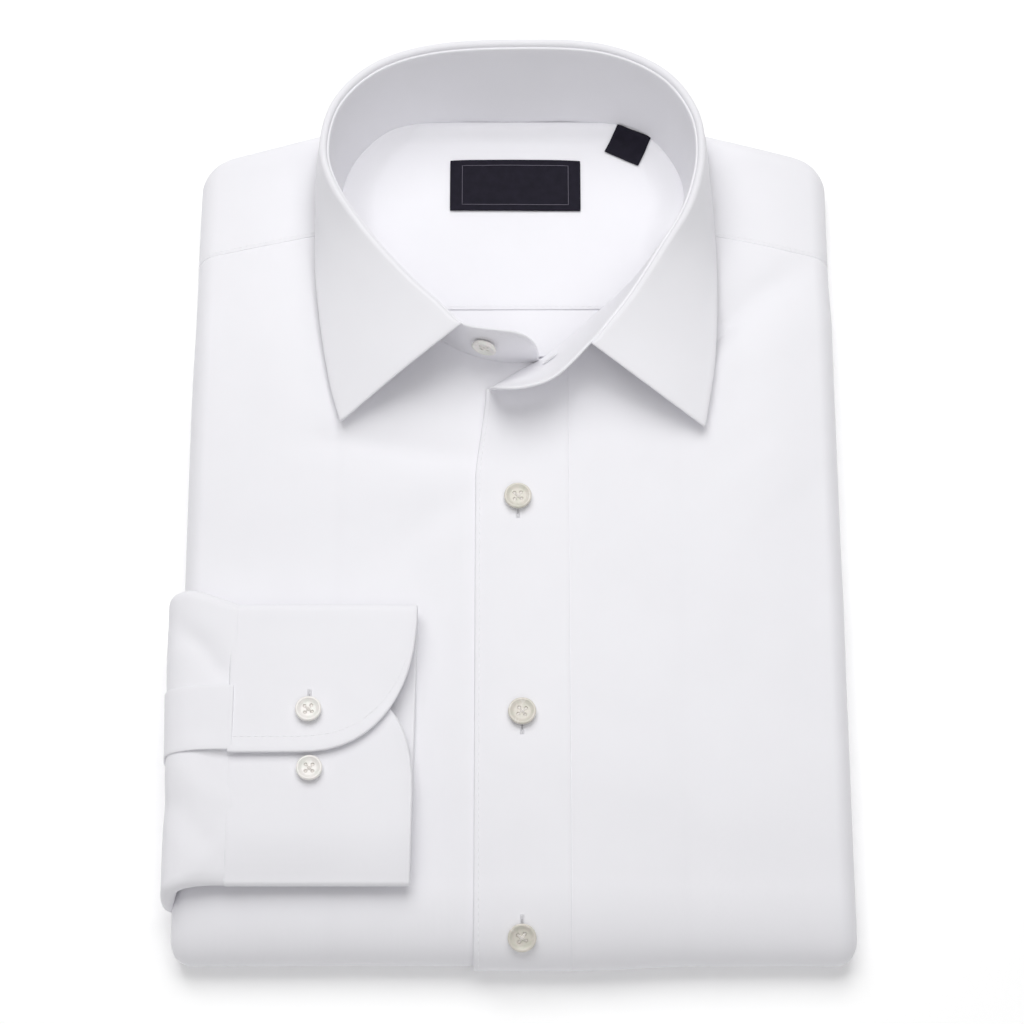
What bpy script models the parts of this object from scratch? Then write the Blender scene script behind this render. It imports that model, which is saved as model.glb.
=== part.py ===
"""Folded dress shirt, lying on its back with the collar standing and one cuff brought to the front.

Metres, +Z up. The origin is on the flat underside, X runs to the viewer's right and Y from the
folded hem towards the collar. Every panel is an open sheet with a Solidify wall. Panels of the
folded body share one cloth surface, cloth_point(), and lie at their own depth in it.
"""

import math

import bmesh
import bpy
from mathutils import Matrix, Vector

for old in list(bpy.data.objects):
    bpy.data.objects.remove(old, do_unlink=True)

GAP = 0.0003
SEAM_GAP = 0.0008

# Folded body, measured over its outer cloth
BODY_HALF_WIDTH = 0.1342
BODY_CENTRE_X = 0.0007
HEM_Y = -0.1865
SHOULDER_Y = 0.1925
SIDE_ROUND = 0.008
HEM_ROUND_TOP = 0.030
HEM_ROUND_UNDER = 0.010
SHOULDER_ROUND = 0.010
HEM_CORNER = 0.009
SHOULDER_CORNER = 0.014
SHOULDER_SLOPE = 0.27
SLOPE_STARTS_AT_X = 0.050
SLOPE_EASING = 0.008
SLOPE_FROM_Y = 0.060
SLOPE_TO_Y = 0.185

# Height of the folded stack and how it thins towards its edges
STACK_HEIGHT = 0.0270
HEM_FALL = 0.0040
HEM_FALL_FROM = 0.100
SHOULDER_FALL = 0.0110
SHOULDER_FALL_FROM = 0.050
SIDE_FALL = 0.0025
RIM_SHARE = 0.42

CLOTH_WALL = 0.0015
CORE_DEPTH = 0.0023
RIDGE_DEPTH = 0.0006
GROOVE_DEPTH = 0.0028
SIDE_WRAP = math.radians(72)

# Hidden folds at the sides, in degrees below the level of the widest place
RIDGES_WITHIN = 17.0
RIDGE_FROM = 3.0
RIDGE_TO = 9.5
FLAT_X = BODY_HALF_WIDTH - SIDE_ROUND
HEM_FLAT_Y = HEM_Y + HEM_ROUND_TOP
SHOULDER_FLAT_Y = SHOULDER_Y - SHOULDER_ROUND
QUARTER = math.pi / 2

# Panels
YOKE_SEAM = 0.1305
TAIL_END_Y = 0.148
YOKE_UNDER_Y = 0.152
PLACKET_LEFT_X = -0.0152
PLACKET_RIGHT_X = 0.0222
PLACKET_DRAWN_IN = 0.0042
PLACKET_DRAWN_FROM = 0.012
PLACKET_DRAWN_TO = 0.055
UNDERLAP_X = 0.0150
PLACKET_LIFT = 0.0020
LIFT_ENDS_X = 0.075

# Neck hollow and the layers seen through it
FLOOR_Z = 0.0114
FLOOR_WALL = 0.0012
BOWL_Z = 0.0098
BACK_SEAM_Y = 0.1000
BACK_PANEL_LOW_Y = 0.0780
FLOOR_COLUMNS = (0.0, 0.035, 0.08, 0.14, 0.3, 0.5, 0.7, 0.86, 0.92, 0.965, 1.0)
FLOOR_EDGE_RISE = 0.014
FLOOR_BACK_Y = 0.1910
FLOOR_BACK_SLOPE = 1.3
SEWN_FROM_Y = 0.118
SEWN_TO_Y = 0.138
NECK_CENTRE = (0.0, 0.135)
NECK_FRONT_TUCK = 0.003
NECK_BACK_INSET = 0.0016

# Collar stand and leaf
BAND_WALL = 0.0015
LEAF_WALL = 0.0013
ROLL_RISE = 0.0006
ROLL_RADIUS = 0.0018
LEAF_BULGE = 0.0016
TAB_END_ROUND = 0.012
TAB_END_LOW = 0.30

# Cuff strip, wrapped once round with its rounded ends overlapping
CUFF_SEAM_X = -0.1103
CUFF_WRIST_X = -0.0383
CUFF_WALL = 0.0016
CUFF_BOTTOM_Z = 0.0283
CUFF_UNDERLAP_Z = 0.0342
CUFF_TOP_Z = 0.0363
CUFF_FAR_FOLD_Y = -0.0490
CUFF_NEAR_FOLD_Y = -0.1583
CUFF_TOP_END_Y = -0.1080
CUFF_UNDER_END_Y = -0.0780
CUFF_CORNER_WIDE = 0.045
CUFF_CORNER_LONG = 0.055
CUFF_CORNER_POWER = 2.8

# Sleeve end, a flattened tube that comes round the side of the body
SLEEVE_WALL = 0.0012
SLEEVE_FAR_Y = -0.0385
SLEEVE_NEAR_Y = -0.1660
SLEEVE_SLOT_CENTRE = (-0.1345, -0.1022, 0.0110)
SLEEVE_SLOT_SIZE = (0.0260, 0.1362, 0.0066)
SLEEVE_SAG_FROM_Y = -0.090
GAUNTLET_FAR_Y = -0.0805
GAUNTLET_NEAR_Y = -0.1070
GAUNTLET_WALL = 0.0011
GAUNTLET_ROWS = 7

# Buttons
BUTTON_DIAMETER = 0.0112
CUFF_BUTTON_DIAMETER = 0.0104
BUTTON_THICK = 0.0026
BUTTON_RIM_WIDE = 0.0013
BUTTON_DISH = 0.0007
BUTTON_HOLE = 0.0017
BUTTON_HOLE_PITCH = 0.0027
BUTTON_SEAT = 0.0005
BUTTON_SIDES = 16
HOLE_SIDES = 6
FRONT_BUTTONS = ((0.0024, 0.0045), (0.0040, -0.0888), (0.0039, -0.1795))
COLLAR_BUTTON_ROW = 1.38

# Labels
MAIN_LABEL = (0.0555, 0.0240)
MAIN_LABEL_CENTRE = (0.0014, 0.1590)
SIZE_LABEL = (0.0156, 0.0126)
SIZE_LABEL_CENTRE = (0.0486, 0.1770)
SIZE_LABEL_TURN = math.radians(-26)
LABEL_WALL = 0.0010
LABEL_LIFT = 0.0009

# Stand and leaf of the collar, in millimetres, from the button end round the back to the buttonhole
# end. The seam is where the stand meets the body, the top is the stand's upper edge, and the edge is
# the free edge of the leaf that falls from it. The two tab ends carry no leaf.
COLLAR = (
    # seam x, seam y, top x, top y, top z, edge x, edge y, edge z
    (10.5, 67.8, 10.0, 67.6, 52.0, None, None, None),
    (-4.0, 68.0, -6.0, 68.4, 54.0, None, None, None),
    (-18.0, 72.0, -20.0, 71.4, 53.5, -70.2, 38.7, 30.8),
    (-31.0, 79.8, -29.5, 80.8, 53.0, -75.0, 57.0, 30.2),
    (-45.0, 93.5, -43.8, 95.8, 52.0, -80.0, 84.0, 29.4),
    (-59.0, 110.5, -60.0, 116.5, 51.0, -83.4, 111.0, 27.2),
    (-71.0, 131.0, -73.0, 138.0, 50.5, -84.2, 135.0, 24.0),
    (-73.5, 150.0, -77.3, 156.0, 50.0, -84.4, 158.0, 21.2),
    (-68.0, 168.5, -72.5, 176.5, 50.0, -80.0, 186.0, 15.0),
    (-54.0, 183.8, -57.0, 193.0, 50.0, -62.5, 205.0, 11.5),
    (-33.0, 190.3, -33.0, 201.8, 50.0, -35.0, 213.0, 10.5),
    (2.0, 191.0, 2.0, 204.3, 50.0, 2.0, 215.5, 10.0),
    (37.0, 190.3, 37.0, 202.3, 50.0, 39.0, 213.5, 10.5),
    (58.0, 182.0, 62.0, 190.8, 50.0, 67.5, 202.5, 11.5),
    (70.0, 167.0, 75.0, 172.5, 50.0, 81.5, 183.0, 15.0),
    (74.0, 150.0, 77.5, 152.0, 50.0, 85.0, 157.0, 21.2),
    (67.0, 131.0, 72.0, 129.0, 50.0, 86.3, 133.0, 24.4),
    (53.5, 111.0, 61.0, 108.5, 50.0, 86.6, 110.0, 27.8),
    (43.0, 98.0, 49.0, 88.0, 50.0, 85.6, 87.0, 29.6),
    (34.5, 89.0, 39.5, 74.5, 50.0, 83.2, 63.0, 30.6),
    (26.5, 80.5, 32.3, 65.4, 49.5, 78.8, 36.0, 31.4),
    (14.0, 69.0, 18.0, 50.3, 49.0, None, None, None),
    (3.0, 62.0, 5.0, 44.8, 49.5, None, None, None),
    (-8.5, 54.0, -9.6, 43.5, 50.5, None, None, None),
)
LEAF_FIRST_ROW = 2
LEAF_LAST_ROW = 20
LEFT_FRONT_ROWS = 6
RIGHT_FRONT_ROWS = 16
YOKE_FIRST_ROW = 7
YOKE_LAST_ROW = 15
BAND_STEPS_PER_ROW = 2
LEAF_STEPS_PER_ROW = 2

# Run of the sleeve tube in the XZ plane, from the cuff to the fold at the body's side
SLEEVE_RUN = (
    # x, z of the tube's middle, half height, all in millimetres, and its share in the body's sag
    (-111.3, 32.0, 4.1, 0.0),
    (-118.0, 30.8, 3.6, 0.2),
    (-125.0, 28.9, 2.6, 0.6),
    (-130.5, 26.3, 2.0, 0.9),
    (-134.4, 22.2, 1.75, 0.8),
    (-136.3, 17.8, 1.7, 0.6),
    (-136.5, 14.6, 1.7, 0.5),
    (-134.7, 12.1, 1.6, 0.45),
    (-131.6, 11.1, 1.5, 0.42),
    (-127.6, 10.9, 1.5, 0.42),
)


def ease(start, stop, value):
    """Smooth step from 0 at start to 1 at stop."""
    share = min(max((value - start) / (stop - start), 0.0), 1.0)
    return share * share * (3.0 - 2.0 * share)


def mix(first, second, share):
    return first + (second - first) * share


def stack_height(x, y):
    """Height of the folded stack over its flat underside."""
    height = STACK_HEIGHT
    height -= HEM_FALL * ease(HEM_FALL_FROM, -HEM_Y, -y)
    height -= SHOULDER_FALL * ease(SHOULDER_FALL_FROM, SHOULDER_FLAT_Y, y)
    height -= SIDE_FALL * (abs(x) / BODY_HALF_WIDTH) ** 4
    return height


def fold_over(beyond, rim, round_top, round_under):
    """Plan base, radius, angle and side of cloth that runs a length beyond the flat top."""
    top_arc = round_top * QUARTER
    under_arc = round_under * QUARTER
    if beyond <= 0.0:
        return rim - round_top + beyond, 0.0, 0.0, False
    if beyond <= top_arc:
        return rim - round_top, round_top, beyond / round_top, False
    beyond -= top_arc
    if beyond <= under_arc:
        return rim - round_under, round_under, QUARTER - beyond / round_under, True
    return rim - round_under - (beyond - under_arc), 0.0, 0.0, True


def round_corner(x, y, rim_x, rim_y, corner):
    """Draws a point of a square corner into a round one."""
    over_x = (abs(x) - (rim_x - corner)) / corner
    over_y = (abs(y) - (rim_y - corner)) / corner
    if over_x <= 0.0 or over_y <= 0.0:
        return x, y
    drawn_x = over_x * math.sqrt(max(1.0 - over_y * over_y / 2.0, 0.0))
    drawn_y = over_y * math.sqrt(max(1.0 - over_x * over_x / 2.0, 0.0))
    new_x = math.copysign(rim_x - corner + corner * drawn_x, x)
    new_y = math.copysign(rim_y - corner + corner * drawn_y, y)
    return new_x, new_y


def shoulder_drop(x, y):
    """How far the sloping shoulder line lies in front of a straight one."""
    beyond = max(0.0, abs(x) - SLOPE_STARTS_AT_X)
    drop = SHOULDER_SLOPE * beyond * beyond / (beyond + SLOPE_EASING)
    return drop * ease(SLOPE_FROM_Y, SLOPE_TO_Y, y)


def cloth_point(across, along, depth=0.0):
    """Point of the folded body's cloth.

    across is the length over the top from the middle, and goes on round the side fold. along is
    the length towards the shoulders, and goes on round the shoulder fold and the hem fold to the
    underside. depth is the distance inward from the outermost cloth.
    """
    if along >= 0.0:
        base_y, radius_y, angle_y, under = fold_over(
            along - SHOULDER_FLAT_Y, SHOULDER_Y, SHOULDER_ROUND, SHOULDER_ROUND)
        sign_y, corner = 1.0, SHOULDER_CORNER
        rim_y = SHOULDER_Y
    else:
        base_y, radius_y, angle_y, under = fold_over(
            HEM_FLAT_Y - along, -HEM_Y, HEM_ROUND_TOP, HEM_ROUND_UNDER)
        sign_y, corner = -1.0, HEM_CORNER
        rim_y = -HEM_Y
    angle_x = max(0.0, abs(across) - FLAT_X) / SIDE_ROUND
    x = math.copysign(min(abs(across), FLAT_X), across)
    height = stack_height(x, sign_y * base_y)
    rim_z = RIM_SHARE * height
    level = math.cos(angle_x) * math.cos(angle_y)
    if angle_x > 0.0:
        x += math.copysign((SIDE_ROUND - depth) * math.sin(angle_x), across)
    y = base_y
    if angle_y > 0.0:
        y += (radius_y - depth) * math.sin(angle_y)
    x, y = round_corner(x, y, BODY_HALF_WIDTH - depth, rim_y - depth, corner)
    y *= sign_y
    z = rim_z * (1.0 - level) + depth * level if under else rim_z + (height - rim_z - depth) * level
    return Vector((x + BODY_CENTRE_X, y - shoulder_drop(x, y), z))


def cloth_along(x, y):
    """Length along the cloth of a place on the top, given in plan."""
    square_y = y
    for _ in range(6):
        square_y = y + shoulder_drop(x, square_y)
    if square_y <= SHOULDER_FLAT_Y:
        return square_y
    share = min((square_y - SHOULDER_FLAT_Y) / SHOULDER_ROUND, 0.995)
    return SHOULDER_FLAT_Y + SHOULDER_ROUND * math.asin(share)


def top_point(x, y, depth=0.0):
    """Point of the top surface over a place in plan."""
    return cloth_point(x - BODY_CENTRE_X, cloth_along(x - BODY_CENTRE_X, y), depth)


def lift(across, along):
    """How far the right front stands over the cloth where the left front runs under it."""
    rim_along = HEM_FLAT_Y - HEM_ROUND_TOP * QUARTER
    under_along = rim_along - HEM_ROUND_UNDER * QUARTER
    near = 1.0 - ease(PLACKET_RIGHT_X, LIFT_ENDS_X, across)
    return PLACKET_LIFT * near * ease(under_along, rim_along, along)


# Collar lines

def collar_line(columns, row):
    """Smooth line through some columns of the collar's table, at a fractional row, in metres."""
    last = len(COLLAR) - 1
    index = min(int(row), last - 1)
    share = row - index

    def entry(number):
        clipped = min(max(number, 0), last)
        values = [COLLAR[clipped][column] for column in columns]
        return None if None in values else Vector(values) / 1000.0

    second, third = entry(index), entry(index + 1)
    if second is None or third is None:
        return second or third
    first = entry(index - 1) or second
    fourth = entry(index + 2) or third
    cube = (second - third) * 3.0 + fourth - first
    square = first * 2.0 - second * 5.0 + third * 4.0 - fourth
    return second + (third - first) * share * 0.5 + (square * share + cube * share * share) * share * 0.5


def rows_between(first, last, steps):
    count = (last - first) * steps
    return [first + step / steps for step in range(count + 1)]


def seam_place(row):
    """Plan place of the neck seam."""
    return collar_line((0, 1), row)


def seam_lift(row):
    """The buttonhole end stands on the placket, the rest on the cloth beneath."""
    return PLACKET_LIFT * ease(RIGHT_FRONT_ROWS, RIGHT_FRONT_ROWS + 3, row)


def seam_point(row):
    place = seam_place(row)
    point = top_point(place.x, place.y)
    return Vector((place.x, place.y, point.z + seam_lift(row) + SEAM_GAP))


def band_top(row):
    return collar_line((2, 3, 4), row)


def leaf_edge(row):
    return collar_line((5, 6, 7), row)


def neck_y(x, first, last):
    """Plan y of the neck seam at x, on the stretch between two rows of the collar."""
    places = [seam_place(row) for row in rows_between(first, last, 6)]
    if places[0].x > places[-1].x:
        places.reverse()
    if x <= places[0].x:
        return places[0].y
    for before, after in zip(places, places[1:]):
        if x <= after.x:
            return mix(before.y, after.y, (x - before.x) / max(after.x - before.x, 1e-9))
    return places[-1].y


# Mesh helpers

def collection(name):
    made = bpy.data.collections.new(name)
    bpy.context.scene.collection.children.link(made)
    return made


SHIRT = collection("folded_dress_shirt")
CUTTERS = collection("cutters")


def material(name, colour, roughness, metallic=0.0):
    made = bpy.data.materials.new(name)
    made.use_nodes = True
    shader = made.node_tree.nodes["Principled BSDF"]
    shader.inputs["Base Color"].default_value = (*colour, 1.0)
    shader.inputs["Roughness"].default_value = roughness
    shader.inputs["Metallic"].default_value = metallic
    return made


def add_object(name, mesh, finish, smooth=True):
    made = bpy.data.objects.new(name, mesh)
    SHIRT.objects.link(made)
    mesh.materials.append(finish)
    if smooth:
        mesh.shade_smooth()
        mesh.set_sharp_from_angle(angle=math.radians(50))
    return made


def grid_mesh(name, rows, closed=False, keep=None):
    """Quads between rows of points, which may close on themselves."""
    shape = bmesh.new()
    verts = [[shape.verts.new(point) for point in row] for row in rows]
    width = len(rows[0])
    for low in range(len(rows) - 1):
        for left in range(width if closed else width - 1):
            if keep and not keep(low, left):
                continue
            right = (left + 1) % width
            shape.faces.new((verts[low][left], verts[low][right],
                             verts[low + 1][right], verts[low + 1][left]))
    loose = [vert for vert in shape.verts if not vert.link_faces]
    bmesh.ops.delete(shape, geom=loose, context="VERTS")
    mesh = bpy.data.meshes.new(name)
    shape.to_mesh(mesh)
    shape.free()
    return mesh


def sheet(name, rows, wall, finish, offset=-1.0, closed=False, keep=None):
    """Open grid given a cloth wall. The wall grows away from the faces' normals."""
    made = add_object(name, grid_mesh(name, rows, closed, keep), finish)
    solid = made.modifiers.new("wall", "SOLIDIFY")
    solid.thickness = wall
    solid.offset = offset
    solid.use_even_offset = True
    solid.use_quality_normals = True
    return made


def body_sheet(name, columns, spans, finish, depth, keep=None, drift=None):
    """Panel of the folded body: columns across, and a function giving each column's lengths.

    depth and drift give the depth and the sideways shift of the cloth at a place.
    """
    lengths = [spans(column) for column in columns]
    rows = []
    for number in range(len(lengths[0])):
        row = []
        for column, along in zip(reversed(columns), reversed([column[number] for column in lengths])):
            across = column + drift(column, along) if drift else column
            row.append(cloth_point(across, along, depth(across, along)))
        rows.append(row)
    return sheet(name, rows, CLOTH_WALL, finish, keep=keep)


# Columns and lengths that the panels share

def side_arc(side, steps=4):
    """Columns that carry a panel round its side fold, from the flat outward."""
    return [side * (FLAT_X + SIDE_ROUND * SIDE_WRAP * step / steps) for step in range(1, steps + 1)]


def spread(first, last, count):
    return [mix(first, last, step / (count - 1)) for step in range(count)]


HEM_TOP_END = HEM_FLAT_Y - HEM_ROUND_TOP * QUARTER
HEM_UNDER_END = HEM_TOP_END - HEM_ROUND_UNDER * QUARTER
TAIL_END = HEM_UNDER_END - (TAIL_END_Y - HEM_Y - HEM_ROUND_UNDER)
SHOULDER_TOP_END = SHOULDER_FLAT_Y + SHOULDER_ROUND * QUARTER
SHOULDER_UNDER_END = SHOULDER_TOP_END + SHOULDER_ROUND * QUARTER
YOKE_UNDER_END = SHOULDER_UNDER_END + (SHOULDER_FLAT_Y - YOKE_UNDER_Y)
CHEST_SHARES = (0.0, 0.06, 0.15, 0.28, 0.48, 0.72, 1.0)
CHEST_END = -0.088
HEM_FALL_STEPS = (-0.105, -0.122, -0.139, HEM_FLAT_Y)


def front_lengths(start):
    """Lengths down a front from its top edge, round the hem fold and up the underside."""
    lengths = [mix(start, CHEST_END, share) for share in CHEST_SHARES]
    lengths += HEM_FALL_STEPS
    lengths += spread(HEM_FLAT_Y, HEM_TOP_END, 6)[1:]
    lengths += spread(HEM_TOP_END, HEM_UNDER_END, 4)[1:]
    lengths += spread(HEM_UNDER_END, TAIL_END, 4)[1:]
    return lengths


def left_front_top(across):
    x = across + BODY_CENTRE_X
    if x <= seam_place(LEFT_FRONT_ROWS).x:
        return YOKE_SEAM - GAP
    return min(cloth_along(across, neck_y(x, 0, LEFT_FRONT_ROWS)), YOKE_SEAM - GAP)


def right_front_top(across):
    x = across + BODY_CENTRE_X
    if x >= seam_place(RIGHT_FRONT_ROWS).x:
        return YOKE_SEAM - GAP
    return min(cloth_along(across, neck_y(x, RIGHT_FRONT_ROWS, len(COLLAR) - 1)), YOKE_SEAM - GAP)


def no_depth(across, along):
    return 0.0


def raised(across, along):
    return -lift(across, along)


def make_left_front(finish):
    side = list(reversed(side_arc(-1))) + [-FLAT_X]
    flat = [-0.108, -0.086, -0.072, -0.068, -0.060, -0.050, -0.040, -0.030, -0.020]
    lap = [PLACKET_LEFT_X - GAP, -0.002, UNDERLAP_X - 0.004]
    columns = side + flat + lap
    flat_rows = len(CHEST_SHARES) + len(HEM_FALL_STEPS) + 4

    def keep(low, left):
        """The part under the placket ends where the body turns under."""
        mirrored = len(columns) - 2 - left
        return mirrored < len(columns) - 3 or low < flat_rows

    return body_sheet("front_left", columns, lambda across: front_lengths(left_front_top(across)),
                      finish, no_depth, keep)


def make_right_front(finish):
    flat = [PLACKET_RIGHT_X + GAP, 0.031, 0.040, 0.050, 0.059, 0.065, 0.070, 0.086, 0.108]
    columns = flat + [FLAT_X] + side_arc(1)
    return body_sheet("front_right", columns, lambda across: front_lengths(right_front_top(across)),
                      finish, raised)


def make_placket(finish):
    columns = spread(PLACKET_LEFT_X, PLACKET_RIGHT_X, 6)
    width = PLACKET_RIGHT_X - PLACKET_LEFT_X

    def drawn_in(across, along):
        """The free edge bends in towards the end of the collar stand."""
        share = (PLACKET_RIGHT_X - across) / width
        return PLACKET_DRAWN_IN * share * ease(PLACKET_DRAWN_FROM, PLACKET_DRAWN_TO, along)

    return body_sheet("placket", columns, lambda across: front_lengths(right_front_top(across)),
                      finish, raised, drift=drawn_in)


def yoke_start(across):
    """The yoke begins at the front seam, or behind the neck hole."""
    x = across + BODY_CENTRE_X
    left, right = seam_place(YOKE_FIRST_ROW).x, seam_place(YOKE_LAST_ROW).x
    if x < left or x > right:
        return YOKE_SEAM
    return cloth_along(across, neck_y(x, YOKE_FIRST_ROW, YOKE_LAST_ROW))


def make_yoke_outer(finish):
    neck = [seam_place(row).x - BODY_CENTRE_X for row in rows_between(YOKE_FIRST_ROW, YOKE_LAST_ROW, 2)]
    left = list(reversed(side_arc(-1))) + [-FLAT_X, -0.108, -0.090, neck[0] - GAP]
    right = [neck[-1] + GAP, 0.090, 0.108, FLAT_X] + side_arc(1)
    columns = left + neck + right

    def lengths(across):
        start = yoke_start(across)
        top = spread(start, max(SHOULDER_FLAT_Y, start + 0.0005), 4)
        rolled = spread(top[-1], SHOULDER_TOP_END, 4)[1:]
        under = spread(SHOULDER_TOP_END, SHOULDER_UNDER_END, 4)[1:]
        return top + rolled + under + [YOKE_UNDER_END]

    made = body_sheet("yoke_outer", columns, lengths, finish, no_depth)
    made.data.flip_normals()
    return made


# Hidden layers

def neck_outline(front_offset, back_offset, steps=2):
    """Closed plan outline round the neck seam, moved out by an amount in front and behind."""
    rows = rows_between(1, len(COLLAR) - 3, steps)
    places = [seam_place(row) for row in rows]
    centre = Vector(NECK_CENTRE)
    outline = []
    for place in places:
        away = (place - centre).normalized()
        share = ease(SEWN_FROM_Y, SEWN_TO_Y, place.y)
        outline.append(place + away * mix(front_offset, back_offset, share))
    return outline


def core_depth(angle, ridged):
    """Along the sides the hidden folds show as ridges between the two legs of the fronts."""
    below = 90.0 - math.degrees(angle)
    if below > RIDGES_WITHIN:
        return CORE_DEPTH
    return RIDGE_DEPTH if ridged and RIDGE_FROM < below < RIDGE_TO else GROOVE_DEPTH


def make_core(finish):
    """Rounded stack of the layers that do not show, open as a bowl under the neck hole."""
    arcs = [math.radians(angle) for angle in (0, 18, 36, 54, 72, 78, 84, 89.2)]
    flats = spread(-FLAT_X, FLAT_X, 9)[1:-1]
    columns = [-(FLAT_X + SIDE_ROUND * arc) for arc in reversed(arcs)] + flats
    columns += [FLAT_X + SIDE_ROUND * arc for arc in arcs]

    def row_points(top_length, under_length):
        top, under = [], []
        ridged = HEM_FLAT_Y < top_length < SHOULDER_FLAT_Y
        for column in columns:
            depth = core_depth(max(0.0, abs(column) - FLAT_X) / SIDE_ROUND, ridged)
            top.append(cloth_point(column, top_length, depth))
            under.append(cloth_point(column, under_length, depth))
        return top + list(reversed(under))

    hem = [(HEM_FLAT_Y - HEM_ROUND_TOP * math.radians(angle),
            HEM_TOP_END - HEM_ROUND_UNDER * (QUARTER - math.radians(angle)))
           for angle in (84, 72, 54, 36, 18, 0)]
    flat_y = (*reversed(HEM_FALL_STEPS[:-1]), CHEST_END, -0.020, 0.050, 0.080, 0.110, 0.140, 0.165)
    flat = [(y, HEM_UNDER_END - (y - HEM_Y - HEM_ROUND_UNDER)) if y < 0.0
            else (y, SHOULDER_UNDER_END + (SHOULDER_FLAT_Y - y)) for y in flat_y]
    shoulder = [(SHOULDER_FLAT_Y + SHOULDER_ROUND * math.radians(angle),
                 SHOULDER_TOP_END + SHOULDER_ROUND * (QUARTER - math.radians(angle)))
                for angle in (0, 30, 60, 80)]
    rows = [row_points(*pair) for pair in hem + flat + shoulder]
    mesh = grid_mesh("folded_layers", rows, closed=True)
    shape = bmesh.new()
    shape.from_mesh(mesh)
    shape.verts.ensure_lookup_table()
    width, half = len(rows[0]), len(columns)
    for first in (0, (len(rows) - 1) * width):
        ring = [shape.verts[first + place] for place in range(width)]
        for left in range(half - 1):
            corners = (ring[left], ring[left + 1], ring[width - 2 - left], ring[width - 1 - left])
            shape.faces.new(corners)
    bmesh.ops.recalc_face_normals(shape, faces=shape.faces)
    shape.to_mesh(mesh)
    shape.free()
    made = add_object("folded_layers", mesh, finish)
    cut(made, prism("neck_bowl", neck_outline(0.006, 0.0015), BOWL_Z, STACK_HEIGHT + 0.02))
    cut(made, block("sleeve_slot", SLEEVE_SLOT_CENTRE, SLEEVE_SLOT_SIZE))
    return made


def prism(name, outline, low, high):
    """Upright cutter over a plan outline."""
    shape = bmesh.new()
    base = [shape.verts.new((place.x, place.y, low)) for place in outline]
    face = shape.faces.new(base)
    pulled = bmesh.ops.extrude_face_region(shape, geom=[face])
    moved = [item for item in pulled["geom"] if isinstance(item, bmesh.types.BMVert)]
    bmesh.ops.translate(shape, verts=moved, vec=(0.0, 0.0, high - low))
    bmesh.ops.recalc_face_normals(shape, faces=shape.faces)
    return cutter(name, shape)


def block(name, centre, size):
    shape = bmesh.new()
    bmesh.ops.create_cube(shape, size=1.0, matrix=Matrix.LocRotScale(centre, None, size))
    return cutter(name, shape)


def cutter(name, shape):
    mesh = bpy.data.meshes.new(name)
    shape.to_mesh(mesh)
    shape.free()
    made = bpy.data.objects.new(name, mesh)
    CUTTERS.objects.link(made)
    made.hide_render = True
    made.display_type = "WIRE"
    return made


def cut(piece, tool):
    modifier = piece.modifiers.new(tool.name, "BOOLEAN")
    modifier.operation = "DIFFERENCE"
    modifier.object = tool
    modifier.solver = "EXACT"


# Inside of the neck hole

def neck_sides(y):
    """Left and right plan x of the inner yoke at y, which tucks under the fronts' neckline."""
    places = neck_outline(NECK_FRONT_TUCK, -NECK_BACK_INSET, 6)
    crossings = []
    for before, after in zip(places, places[1:]):
        if (before.y - y) * (after.y - y) <= 0.0 and before.y != after.y:
            crossings.append(mix(before.x, after.x, (y - before.y) / (after.y - before.y)))
    return min(crossings), max(crossings)


def floor_point(x, y):
    """Inner yoke: flat in the middle, drawn up to the neck seam behind the front seams."""
    left, right = neck_sides(y)
    edge = min(x - left, right - x, FLOOR_BACK_SLOPE * (FLOOR_BACK_Y - y))
    rise = 1.0 - ease(0.0, FLOOR_EDGE_RISE, edge)
    seam_z = top_point(x, y).z - GAP
    sewn = ease(SEWN_FROM_Y, SEWN_TO_Y, y)
    return Vector((x, y, mix(FLOOR_Z, max(seam_z, FLOOR_Z), rise * sewn)))


def floor_rows(low, high, count):
    rows = []
    for y in spread(low, high, count):
        left, right = neck_sides(y)
        rows.append([floor_point(mix(left, right, share), y) for share in FLOOR_COLUMNS])
    return rows


def make_yoke_inner(finish):
    high = max(place.y for place in neck_outline(NECK_FRONT_TUCK, -NECK_BACK_INSET, 6)) - GAP
    rows = floor_rows(BACK_SEAM_Y + GAP, 0.150, 5)
    rows += floor_rows(0.150, 0.180, 5)[1:]
    rows += floor_rows(0.180, high, 5)[1:]
    return sheet("yoke_inner", rows, FLOOR_WALL, finish)


def make_back_panel(finish):
    rows = []
    for y in spread(BACK_PANEL_LOW_Y, BACK_SEAM_Y, 3):
        rows.append([Vector((x, y, FLOOR_Z)) for x in spread(*neck_sides(y), 5)])
    return sheet("back_panel", rows, FLOOR_WALL, finish)


# Collar

def tab_height(row):
    """Share of the stand's height, less towards the two rounded tab ends."""
    last = len(COLLAR) - 1
    ends = ((0, row), (last, last - row))
    height = 1.0
    for end, _ in ends:
        reach = (seam_place(row) - seam_place(end)).length
        if reach < TAB_END_ROUND:
            share = 1.0 - reach / TAB_END_ROUND
            height = min(height, mix(TAB_END_LOW, 1.0, math.sqrt(1.0 - share ** 2.4)))
    return height


def band_rows():
    last = len(COLLAR) - 1
    fine_ends = [0.0, 0.12, 0.28, 0.5, 0.75]
    rows = fine_ends + rows_between(1, last - 1, BAND_STEPS_PER_ROW)
    return rows + [last - value for value in reversed(fine_ends)]


def make_band(finish):
    grid = []
    for row in band_rows():
        foot, top = seam_point(row), band_top(row)
        top = mix(foot, top, tab_height(row))
        grid.append([mix(foot, top, share) for share in (0.0, 0.33, 0.67, 1.0)])
    made = sheet("collar_band", grid, BAND_WALL, finish, offset=0.0)
    return made


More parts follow.
